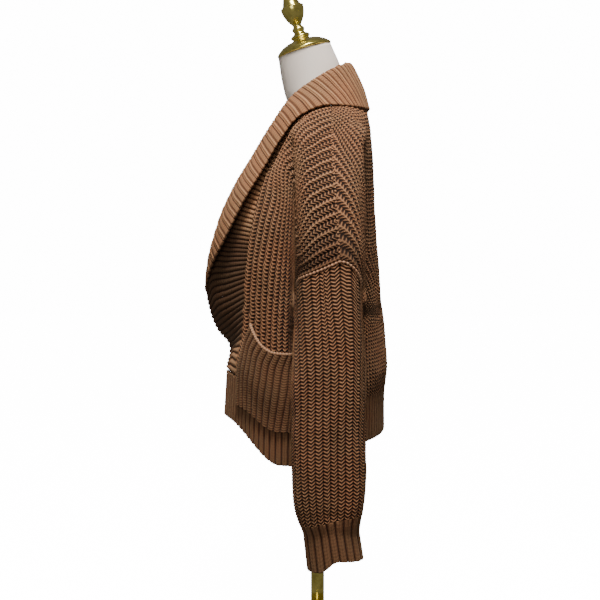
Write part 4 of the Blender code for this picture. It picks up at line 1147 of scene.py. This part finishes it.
    def cuff(self) -> tuple[Array, Array, Weave]:
        """The left cuff's outer face, from its top down."""
        columns = self.cuff_wales * self.cuff_columns
        share = self.evenly_round(columns)
        depth = self.ring(self.cuff_hangs[0], share)[:, 1]
        low = self.cuff_low[0] + (self.cuff_low[1] - self.cuff_low[0]) * ramp(self.cuff_rises, depth)
        part, top = np.linspace(0, 1, self.cuff_rows), self.ends(share) - GAP / 2
        height = top[:, None] + (low - top)[:, None] * part
        grid = self.ring(np.maximum(height, self.cuff_hangs[0]), share[:, None])
        hung = (self.cuff_hangs[1] - height) / (self.cuff_hangs[1] - low)[:, None]
        grid[..., 1] += self.cuff_swing * np.clip(hung, 0, 1)
        grid[..., 2] = height
        normal = normals_round(grid)
        normal[..., 2] = 0
        wale = self.cuff_wales * np.arange(columns + 1) / columns
        weave = Weave(wale[:, None] + 0 * part[None],
            self.cuff_courses * (1 - part)[None] + 0 * wale[:, None])
        return grid, normalised(normal), weave

    def build(self) -> None:
        """Makes both sleeves and both cuffs."""
        made = (
            ("sleeve", self.sleeve(), self.stitch, self.yarn, (0.315, 0.415)),
            ("cuff", self.cuff(), self.cuff_stitch, self.cuff_yarn, (0.22, 0.074)),
        )
        for name, (points, normal, weave), stitch, yarn, flat in made:
            rise = stitch.relief(weave.wale[:-1], weave.course[:-1])
            outer, inner = points + rise[..., None] * normal, points - WALL * normal
            for side in Side:
                # on the left the columns go the other way round, so that they face out with the rows going up
                if side is Side.LEFT:
                    shown = [np.roll(v[::-1], 1, axis=0)[:, ::-1] for v in (outer, inner, rise)]
                    places = Weave(weave.wale[::-1, ::-1], weave.course[::-1, ::-1])
                else:
                    shown = [outer[:, ::-1] * (-1, 1, 1), inner[:, ::-1] * (-1, 1, 1), rise[:, ::-1]]
                    places = Weave(weave.wale[:, ::-1], weave.course[:, ::-1])
                piece = Wall(*shown[:2], places, crests(shown[2]),
                    closed=True).build(f"{name}_{side.value}_knit", yarn)
                dress(piece, f"{name}_{side.value}")
                welts = [self.welt(side)] if name == "sleeve" else []

    def welt(self, side: Side) -> bpy.types.Object:
        """Makes the raised row of stitches where a sleeve is joined to its armhole."""
        loop, normal = self.armhole()
        shows = ramp(self.welt_shows, loop[:, 2:])
        loop = (loop + (self.welt_out * shows - 0.002 * (1 - shows)) * normal)[:-1]
        if side is Side.RIGHT:
            loop, normal = loop * (-1, 1, 1), normal * (-1, 1, 1)
        welt = Chain(radius=0.0017, bead=0.0062, closed=True).build(f"armhole_{side.value}_welt", loop,
            normal[:-1], self.welt_yarn)
        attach(welt, "root")
        return welt


# ---------------------------------------------------------------- hem bands
@dataclass
class Hems:
    """The ribbed band round the hem: the back's, and each front's, which runs on under the collar's end."""

    chart: Chart
    yarn: bpy.types.Material
    stitch: Stitch = BAND_RIB
    bottom: float = 0.376
    levels: float = 0.3
    pitch: float = 0.0108
    each: int = 8
    rows: int = 31

    def face(self, across: Array) -> tuple[Array, Array]:
        """Points and normals of the band under places across the garment."""
        run = np.linspace(self.bottom, self.chart.hem_top - GAP / 2, self.rows)
        wide = across[:, None] + 0 * run[None]
        points, normal = self.chart.place(wide, run[None] + 0 * wide), self.chart.normal(wide,
            run[None] + 0 * wide)
        normal[..., 2] *= self.levels
        return points, normalised(normal)

    def weave(self, count: int) -> Weave:
        """The stitches of a band of a number of ribs."""
        wale = np.arange(count * self.each + 1) / self.each
        course = np.linspace(0, 16, self.rows)
        return Weave(wale[:, None] + 0 * course[None], course[None] + 0 * wale[:, None])

    def build(self) -> None:
        """Makes the three bands."""
        half = float(self.chart.mark("back", self.chart.hem_top))
        count = 2 * round(half / self.pitch)
        across = np.linspace(GAP / 2, half, count // 2 * self.each + 1)
        points, normal = self.face(across)
        points[-1, :, 0], normal[-1, :, 0] = 0, 0
        points, normal = (np.concatenate([v, mirrored(v)[1:]]) for v in (points, normalised(normal)))
        self.band(points, normal, self.weave(count), "hem_back", (0.50, 0.078))
        end = collar_end(self.chart, np.array([self.chart.hem_top]))[0]
        count = round(abs(end) / self.pitch)
        points, normal = self.face(np.linspace(end, -GAP / 2, count * self.each + 1))
        weave = self.weave(count)
        self.band(points, normal, weave, "hem_front_left", (0.245, 0.078))
        self.band(mirrored(points), mirrored(normal), weave.turned(), "hem_front_right", (0.245, 0.078))

    def band(self, points: Array, normal: Array, weave: Weave, node: str, flat: tuple[float, float]) -> None:
        """Makes one band."""
        rise = self.stitch.relief(weave.wale, weave.course)
        piece = Wall(points + rise[..., None] * normal, points - WALL * normal, weave, crests(rise),
            stride=2).build(f"{node}_rib", self.yarn)
        dress(piece, node)


def collar_end(chart: Chart, run: Array, end_x: float = 0.058) -> Array:
    """How far along the outline the front band's free edge lies, where its x is end_x."""
    across = np.linspace(chart.mark("front", run), chart.mark("edge", run), 160, axis=-1)
    x = chart.place(across, run[:, None] + 0 * across)[..., 0]
    before = np.clip((x < end_x).sum(axis=1) - 1, 0, across.shape[1] - 2)
    rows = np.arange(len(run))
    x0, x1 = x[rows, before], x[rows, before + 1]
    a0, a1 = across[rows, before], across[rows, before + 1]
    return a0 + (a1 - a0) * (end_x - x0) / (x1 - x0)


# ---------------------------------------------------------------- collar
@dataclass
class Collar:
    """The shawl collar and front band in one long rib, turned over round the neck and down to the waist."""

    chart: Chart
    yarn: bpy.types.Material
    stations: Table = Table(
        ("along", "roll_x", "roll_y", "roll_z", "free_x", "free_y", "free_z"),
        (
            (0.000, 0.0000, 0.0560, 1.0510, 0.0000, 0.0890, 0.9720),
            (0.036, 0.0400, 0.0480, 1.0480, 0.0540, 0.0830, 0.9680),
            (0.075, 0.0670, 0.0230, 1.0340, 0.0950, 0.0540, 0.9695),
            (0.105, 0.0765, -0.0120, 1.0120, 0.1130, 0.0100, 0.9695),
            (0.140, 0.0800, -0.0450, 0.9860, 0.1140, -0.0300, 0.9535),
            (0.190, 0.0840, -0.0785, 0.9400, 0.1180, -0.0620, 0.9165),
            (0.240, 0.0910, -0.1090, 0.8890, 0.1290, -0.0930, 0.8640),
            (0.300, 0.0990, -0.1425, 0.8330, 0.1390, -0.1275, 0.8060),
            (0.350, 0.1030, -0.1670, 0.7780, 0.1340, -0.1595, 0.7430),
            (0.375, 0.1020, -0.1765, 0.7440, 0.1180, -0.1785, 0.7070),
            (0.400, 0.0980, -0.1850, 0.7080, 0.0920, -0.1925, 0.6690),
            (0.420, 0.0930, -0.1865, 0.6750, 0.0780, -0.1945, 0.6460),
            (0.440, 0.0900, -0.1815, 0.6450, 0.0700, -0.1910, 0.6245),
            (0.485, 0.0860, -0.1620, 0.5960, 0.0600, -0.1760, 0.5830),
            (0.515, 0.0840, -0.1490, 0.5720, 0.0550, -0.1590, 0.5620),
            (0.565, 0.0880, -0.1490, 0.5430, 0.0520, -0.1590, 0.5290),
            (0.590, 0.0900, -0.1500, 0.5220, 0.0500, -0.1610, 0.5180),
        ),
    )
    length: float = 0.594  # of the seam with the garment, on one side
    repeats: int = 36  # of the rib, on one side
    samples: int = 12
    rows: int = 45
    # how much painted shade darkens the folded face under the fold, and where the collar hangs open
    painted_fold_shade: tuple[float, float] = (0.75, 0.80)
    hangs_open: tuple[float, float, float, float] = (0.330, 0.385, 0.520, 0.550)
    fans: float = 0.7  # how far the ribs are spaced by the turned face rather than by the seam
    shear: Table = Table(  # how far the ribs run on along the free edge, where the collar is turned
        ("along", "ahead"), ((0.0, 0.0), (0.04, -0.009), (0.09, -0.016), (0.12, -0.015), (0.16, -0.005),
        (0.22, 0.004), (0.28, 0.003), (0.34, 0.0), (0.594, 0.0))
    )
    settles: tuple[float, float] = (0.550, 0.590)
    flattens: tuple[float, float] = (0.370, 0.425)
    settled_top: float = 0.620
    end_gap: float = 0.0015
    end_slant: float = 0.5  # height of the band's free edge over that of its seam, near its end
    loft: float = 0.0054
    lift: float = 0.0018
    band: tuple[float, ...] = (0.0, 0.52, 0.60, 0.60, 0.60, 0.60, 0.52, 0.0, 0.9, 1.0, 0.1, 1.0)

    def seam(self) -> tuple[Array, Array, Array, Array]:
        """Points, normals, runs and distances of the neck seam, from the centre back down the front."""
        ring = np.linspace(float(self.chart.mark("back", self.chart.neck)), 0.0, 120)[:-1]
        edge = self.chart.edge_wale("edge", np.linspace(1, 0, 900))
        across = np.concatenate([ring, edge[:, 0]])
        run = np.concatenate([np.full(len(ring), self.chart.neck), edge[:, 1]])
        points, normal = self.chart.place(across, run), self.chart.normal(across, run)
        along = length_along(points)
        at = along * self.length / along[-1]
        middle = np.stack([(self.stations.read(f"roll_{axis}", at)
            + self.stations.read(f"free_{axis}", at)) / 2 for axis in "xyz"], -1)
        turned = length_along(middle)
        mixed = self.fans * turned / turned[-1] + (1 - self.fans) * along / along[-1]
        even = np.interp(np.linspace(0, 1, self.repeats * self.samples + 1), mixed, along)
        normal = normalised(smoothed(normalised(interpolated(even, along, normal)), 12))
        return interpolated(even, along, points), normal, np.interp(even, along,
            run), even * self.length / along[-1]

    def face(self) -> tuple[Array, Array]:
        """Points and normals of the left band's outer face, from the seam over the roll to the edge."""
        seam, seam_normal, run, along = self.seam()
        roll = np.stack([self.stations.read(f"roll_{axis}", along) for axis in "xyz"], -1)
        free = np.stack([self.stations.read(f"free_{axis}", along + self.shear.read("ahead", along))
            for axis in "xyz"], -1)
        above = np.clip(run, self.chart.hem_top, self.settled_top) - self.chart.hem_top
        settled, low = (self.chart.hem_top + self.end_gap + above * share for share in (1.0, self.end_slant))
        end, edge = collar_end(self.chart, low), self.chart.mark("edge", settled)
        settle = ramp(self.settles, along)[:, None]
        roll = roll + (self.chart.place((end + edge) / 2, (settled + low) / 2) - roll) * settle
        free = free + (self.chart.place(end, low) - free) * settle
        beyond = normalised(np.cross(np.gradient(seam, axis=0), seam_normal))
        seam = seam + beyond * 0.0006
        seam[:, 2] += self.end_gap * ramp((along[-1] - 0.020, along[-1]), along)
        turned = 1 - ramp(self.flattens, along)[:, None]
        flank = normalised(free - seam)
        lean = normalised(np.array([0, 0, 1.0]) - flank * flank[:, 2:])
        over = (roll + free) / 2 + turned * (self.loft * flank + self.lift * lean)
        sections = np.stack([seam, (seam + roll) / 2, roll, over, free], 1)
        shares = np.linspace(0, 1, self.rows)
        grid = np.stack([evenly(row, shares, 160) for row in sections])
        normal = -normals_of(grid)
        normal[:, 0] -= beyond * np.maximum((normal[:, 0] * beyond).sum(-1, keepdims=True), 0)
        normal[-1, :, 2] = 0
        return grid, normalised(normal)

    def build(self) -> None:
        """Makes the collar: two ribs a repeat outside, a flat band and two ridges on the turned face."""
        grid, normal = self.face()
        grid[0, :, 0], normal[0, :, 0] = 0, 0
        normal = normalised(normal)
        count = grid.shape[0]
        phase = np.arange(count) % self.samples
        side = np.arange(count) / self.samples
        inward = (0.0016 * np.array(self.band)[phase] - 0.0006)[:, None] * np.ones((1, self.rows))
        out_wale = 2 * side[:, None] * np.ones((1, self.rows))
        across = np.linspace(0, 1, self.rows)[None] * np.linalg.norm(np.diff(grid, axis=1),
            axis=-1).sum(axis=1)[:, None]
        course = across / FINE_RIB.course
        outward = FINE_RIB.relief(out_wale, course)
        lit = crests(inward + 0.0001 * np.cos(2 * math.pi * course))
        shown, behind = grid - (WALL + inward)[..., None] * normal, grid + outward[..., None] * normal
        turned = [np.concatenate([v[::-1], (v * m)[1:]]) for v,
            m in ((shown, (-1, 1, 1)), (behind, (-1, 1, 1)))]
        wale = np.concatenate([out_wale[::-1], -out_wale[1:]])
        both = np.concatenate([course[::-1], course[1:]])
        height = np.concatenate([lit[::-1], lit[1:]])
        back = np.concatenate([crests(outward)[::-1], crests(outward)[1:]])[::-1]
        weave = Weave(wale[::-1], both[::-1])
        part = np.linspace(0, 1, self.rows)[None] + 0 * side[:, None]
        along = self.seam()[3][:, None]
        is_open = ramp(self.hangs_open[:2], along) * (1 - ramp(self.hangs_open[2:], along))
        # painted shade: growing from the seam towards the fold, over the whole band where it hangs open, gone
        # near its end
        painted_fold_shade = self.painted_fold_shade[0] * ramp((0.0, 0.40),
            part) * (1 - ramp(self.hangs_open[2:], along)) * (1 - is_open) + self.painted_fold_shade[1] * is_open
        painted_fold_shade = np.concatenate([painted_fold_shade[::-1], painted_fold_shade[1:]])[::-1]
        piece = Wall(turned[0][::-1], turned[1][::-1], weave, height[::-1], inner_height=back,
            hidden=painted_fold_shade).build("collar_rib", self.yarn)
        dress(piece, "collar")


# ---------------------------------------------------------------- pockets
@dataclass
class Pockets:
    """The two patch pockets and the bound edge of their mouths."""

    chart: Chart
    yarn: bpy.types.Material
    binding: bpy.types.Material
    stitch: Stitch = FINE_RIB
    # up the pocket: shares of the front's width at its front edge
    front: tuple = ((0.0, 1.86), (0.5, 1.87), (0.8, 1.85), (1.0, 1.755))
    side: tuple[float, float] = (0.85, 0.62)  # and at its side, low and high
    bottom: tuple[float, ...] = (0.4120, 0.4265, 0.4325, 0.4340)
    top: tuple[float, ...] = (0.5830, 0.5660, 0.5610, 0.5680)
    gape: float = 0.016
    stands: float = 0.0020
    ribs: int = 12
    each: int = 8
    rows: int = 113

    def face(self) -> tuple[Array, Array]:
        """Points and normals of the left pocket's outer face, lifted by its gape at the mouth."""
        u = np.linspace(0, 1, self.ribs * self.each + 1)[:, None]
        v = np.linspace(0, 1, self.rows)[None]
        knots = np.linspace(0, 1, 4)
        bottom, top = curve_through(knots, self.bottom, u), curve_through(knots, self.top, u)
        run = bottom + (top - bottom) * v
        front = curve_through(*np.array(self.front).T, v)
        share = front + (self.side[0] + (self.side[1] - self.side[0]) * v - front) * u
        fold, edge = self.chart.mark("fold", run), self.chart.mark("edge", run)
        base = self.chart.place(np.where(share > 1, fold + (share - 1) * (edge - fold), share * fold), run)
        out = normals_of(base)
        lift = self.stands + WALL + self.gape * np.sin(math.pi * u) * ease(v)
        return base + out * lift[..., None], out

    def build(self) -> None:
        """Makes both pockets and their bindings."""
        points, normal = self.face()
        wale = np.arange(points.shape[0])[:, None] / self.each + 0 * points[..., 0]
        course = length_along(points, axis=1) / self.stitch.course
        weave = Weave(wale, course)
        rise = self.stitch.relief(wale, course)
        outer, inner = points + rise[..., None] * normal, points - WALL * normal
        rim, rim_normal = points[:, -1] - 0.5 * WALL * normal[:, -1], normal[:, -1]
        for side in Side:
            left = side is Side.LEFT
            if not left:
                outer, inner, weave, rise = mirrored(outer), mirrored(inner), weave.turned(), rise[::-1]
                rim, rim_normal = mirrored(rim), mirrored(rim_normal)
            piece = Wall(outer, inner, weave, crests(rise), stride=2).build(f"pocket_{side.value}_rib",
                self.yarn)
            dress(piece, f"pocket_{side.value}")
            chain = Chain(radius=0.0021, bead=0.0052).build(f"pocket_{side.value}_binding", rim, rim_normal,
                self.binding)
            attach(chain, "root")


@dataclass
class Chain:
    """A row of chain stitches: a tube whose radius swells once a stitch."""

    radius: float
    bead: float
    swell: float = 0.28
    sides: int = 12
    closed: bool = False

    def build(self, name: str, path: Array, up: Array, material: bpy.types.Material) -> bpy.types.Object:
        """Makes the tube along a path.

        Args:
            name: its name.
            path: points that it follows.
            up: a direction square to the path at each point.
            material: its yarn.

        Returns:
            The object.
        """
        length = length_along(path)
        count = int(length[-1] / 0.0009)
        if self.closed:
            path, up = np.concatenate([path, path[:1]]), np.concatenate([up, up[:1]])
            length = length_along(path)
        even = np.linspace(0, length[-1], count, endpoint=not self.closed)
        centre, up = interpolated(even, length, path), interpolated(even, length, up)
        step = np.roll(centre, -1, axis=0) - np.roll(centre, 1,
            axis=0) if self.closed else np.gradient(centre, axis=0)
        ahead = normalised(step)
        up = normalised(up - ahead * (up * ahead).sum(-1, keepdims=True))
        aside = np.cross(ahead, up)
        stitches = round(length[-1] / self.bead)
        swing = np.cos(2 * math.pi * stitches * even / length[-1])
        radius = self.radius * (1 + self.swell * swing)
        turn = np.linspace(0, 2 * math.pi, self.sides, endpoint=False)
        rings = centre[:, None] + radius[:, None,
            None] * (np.cos(turn)[None, :, None] * aside[:, None] + np.sin(turn)[None, :, None] * up[:, None])
        # bead heights, which the yarn colours darker between the beads as painted shade
        heights = np.repeat((0.65 + 0.35 * swing)[:, None], self.sides, axis=1)
        places = np.stack([np.full(rings.shape[:2], 0.5),
            np.repeat((even / self.bead)[:, None], self.sides, axis=1)], -1)
        return tube(name, rings, material, self.closed, places, heights)


def tube(name: str, rings: Array, material: bpy.types.Material, closed: bool = False,
        places: Array | None = None, heights: Array | None = None) -> bpy.types.Object:
    """A smooth tube through rings anticlockwise seen from ahead, flat at its ends unless closed."""
    count, sides = rings.shape[:2]
    spot = np.arange(count * sides).reshape(count, sides)
    ahead = np.roll(spot, -1, axis=0) if closed else spot[1:]
    here = spot if closed else spot[:-1]
    quads = np.stack([here, np.roll(here, -1, axis=1), np.roll(ahead, -1, axis=1), ahead], -1).reshape(-1, 4)
    faces = [quads] if closed else [quads, spot[:1, ::-1], spot[-1:]]
    flat = None if places is None else places.reshape(-1, 2)
    layers = None if heights is None else {"height": heights.ravel(), "spine": np.zeros(heights.size)}
    return mesh_object(name, rings.reshape(-1, 3), faces, material, None, flat, layers)


# ---------------------------------------------------------------- dress form and stand
@dataclass
class DressForm:
    """The limbless torso and its leaning neck, in its jersey cover."""

    cover: bpy.types.Material
    sections: Table = Table(
        ("height", "half", "front", "back", "tilt"),
        (
            (0.430, 0.148, -0.086, 0.084, 0.0),
            (0.437, 0.158, -0.094, 0.094, 0.0),
            (0.465, 0.157, -0.094, 0.093, 0.0),
            (0.520, 0.140, -0.086, 0.078, 0.0),
            (0.590, 0.120, -0.084, 0.062, 0.0),
            (0.660, 0.132, -0.097, 0.068, 0.0),
            (0.730, 0.154, -0.117, 0.079, 0.0),
            (0.780, 0.164, -0.114, 0.085, 0.0),
            (0.830, 0.172, -0.100, 0.088, 0.0),
            (0.870, 0.178, -0.084, 0.086, 0.0),
            (0.898, 0.172, -0.070, 0.083, 0.0),
            (0.920, 0.152, -0.056, 0.079, 0.0),
            (0.938, 0.106, -0.040, 0.068, 0.0),
            (0.952, 0.074, -0.038, 0.058, 1.0),
            (0.972, 0.0535, -0.0430, 0.0490, 4.0),
            (0.995, 0.0500, -0.0545, 0.0450, 10.0),
            (1.030, 0.0478, -0.0635, 0.0410, 14.0),
            (1.0755, 0.0462, -0.0708, 0.0220, 16.5),
        ),
    )
    sides: int = 112
    rows: int = 190

    def build(self) -> None:
        """Makes the torso: an oval at each height, leaning with the neck."""
        knots = np.array(self.sections.rows)[:, 0]
        height = np.interp(np.linspace(0, len(knots) - 1, self.rows), np.arange(len(knots)), knots)[:, None]
        half, front, back, tilt = (self.sections.read(n, height) for n in self.sections.columns[1:])
        angle = np.linspace(0, 2 * math.pi, self.sides, endpoint=False)[None]
        x = half * np.cos(angle)
        y = (front + back) / 2 + (back - front) / 2 * np.sin(angle)
        z = height + np.tan(np.radians(tilt)) * (y - (front + back) / 2)
        dress(tube("dress_form_cover", np.stack([x, y, z], -1), self.cover), "dress_form")


@dataclass
class Stand:
    """The brass cap and finial on the neck, and the pole and round base below."""

    brass: bpy.types.Material
    middle: tuple[float, float, float] = (0.0, -0.0244, 1.0762)
    tilt: float = math.radians(16.5)
    cap: tuple = ((0.0, 0.0472), (0.0012, 0.0490), (0.0036, 0.0490), (0.0062, 0.0466), (0.0098, 0.0426),
        (0.0135, 0.0366), (0.0168, 0.0292), (0.0190, 0.0215), (0.0203, 0.0150))
    finial: tuple = (
        (0.0206, 0.0150), (0.0232, 0.0152), (0.0245, 0.0170), (0.0275, 0.0170), (0.0298, 0.0140),
        (0.0325, 0.0100),
        (0.0345, 0.0094), (0.0365, 0.0106), (0.0398, 0.0112), (0.0422, 0.0100), (0.0445, 0.0078),
        (0.0470, 0.0080),
        (0.0520, 0.0115), (0.0580, 0.0152), (0.0670, 0.0188), (0.0765, 0.0205), (0.0795, 0.0205),
        (0.0815, 0.0172),
        (0.0860, 0.0150), (0.0950, 0.0118), (0.1050, 0.0072), (0.1110, 0.0030),
    )
    base: tuple = ((0.0, 0.1460), (0.0040, 0.1500), (0.0120, 0.1490), (0.0170, 0.1420), (0.0190, 0.1250),
        (0.0240, 0.0300))
    pole: tuple = ((0.0243, 0.0125), (0.1, 0.0125), (0.3, 0.0125), (0.4297, 0.0125))

    def turned(self, name: str, profile: tuple, middle: tuple[float, float, float], tilt: float, node: str,
            fine: int = 6) -> None:
        """Turns a profile of (height, radius) round an axis leaning forward by tilt, corners rounded."""
        rows = np.array(profile)
        even = evenly(rows, np.linspace(0, 1, fine * len(rows)), 900) if fine > 1 else rows
        angle = np.linspace(0, 2 * math.pi, 72, endpoint=False)[None]
        height, radius = even[:, :1], even[:, 1:]
        x, y, z = radius * np.cos(angle), radius * np.sin(angle), height + 0 * angle
        points = np.stack([x, y * math.cos(tilt) - z * math.sin(tilt),
            y * math.sin(tilt) + z * math.cos(tilt)], -1)
        dress(tube(name, points + np.array(middle), self.brass), node)

    def build(self) -> None:
        """Makes the four turned pieces."""
        self.turned("cap_turned", self.cap, self.middle, self.tilt, "neck_cap")
        self.turned("finial_turned", self.finial, self.middle, self.tilt, "finial")
        self.turned("pole_turned", self.pole, (0.0, 0.0, 0.0), 0.0, "pole", fine=1)
        self.turned("base_turned", self.base, (0.0, 0.0, 0.0), 0.0, "base")


def main() -> None:
    """Builds the studio and then the cardigan on its form, piece by piece."""
    logging.basicConfig(level=logging.INFO, format="%(name)s %(message)s")
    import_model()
    Studio().build()
    chart = Chart()
    yarn = Yarn().build()
    # darker copies of the yarn, as painted shade on the pockets, cuffs and hem bands
    shaded_rib_yarn = Yarn(name="caramel_yarn_rib_shaded", stitch=FINE_RIB, legs=0.45, groove=0.85,
        middle=(0.096, 0.042, 0.018, 1.0), crest=(0.195, 0.099, 0.048, 1.0)).build()
    shaded_band_yarn = Yarn(name="caramel_yarn_band_shaded", stitch=BAND_RIB, legs=0.15, groove=0.85, by_height=0.60,
        middle=(0.100, 0.043, 0.019, 1.0), crest=(0.200, 0.101, 0.049, 1.0)).build()
    collar_yarn = Yarn(name="caramel_yarn_collar", stitch=FINE_RIB, legs=0.25, groove=0.85, by_height=0.60,
        crest=(0.440, 0.235, 0.118, 1.0)).build()
    binding = Yarn(name="binding_yarn", stitch=FINE_RIB, legs=0.3, middle=(0.22, 0.11, 0.06, 1.0),
        crest=(0.48, 0.27, 0.16, 1.0)).build()
    DressForm(Cover().build()).build()
    Stand(Brass().build()).build()
    Panels(chart, Yarn(name="caramel_yarn_panels", sharp=2.2, groove=0.85).build()).build()
    Sleeves(chart, yarn, shaded_band_yarn, binding).build()
    Hems(chart, shaded_band_yarn).build()
    Collar(chart, collar_yarn).build()
    Pockets(chart, shaded_rib_yarn, binding).build()


if __name__ == "__main__":
    main()
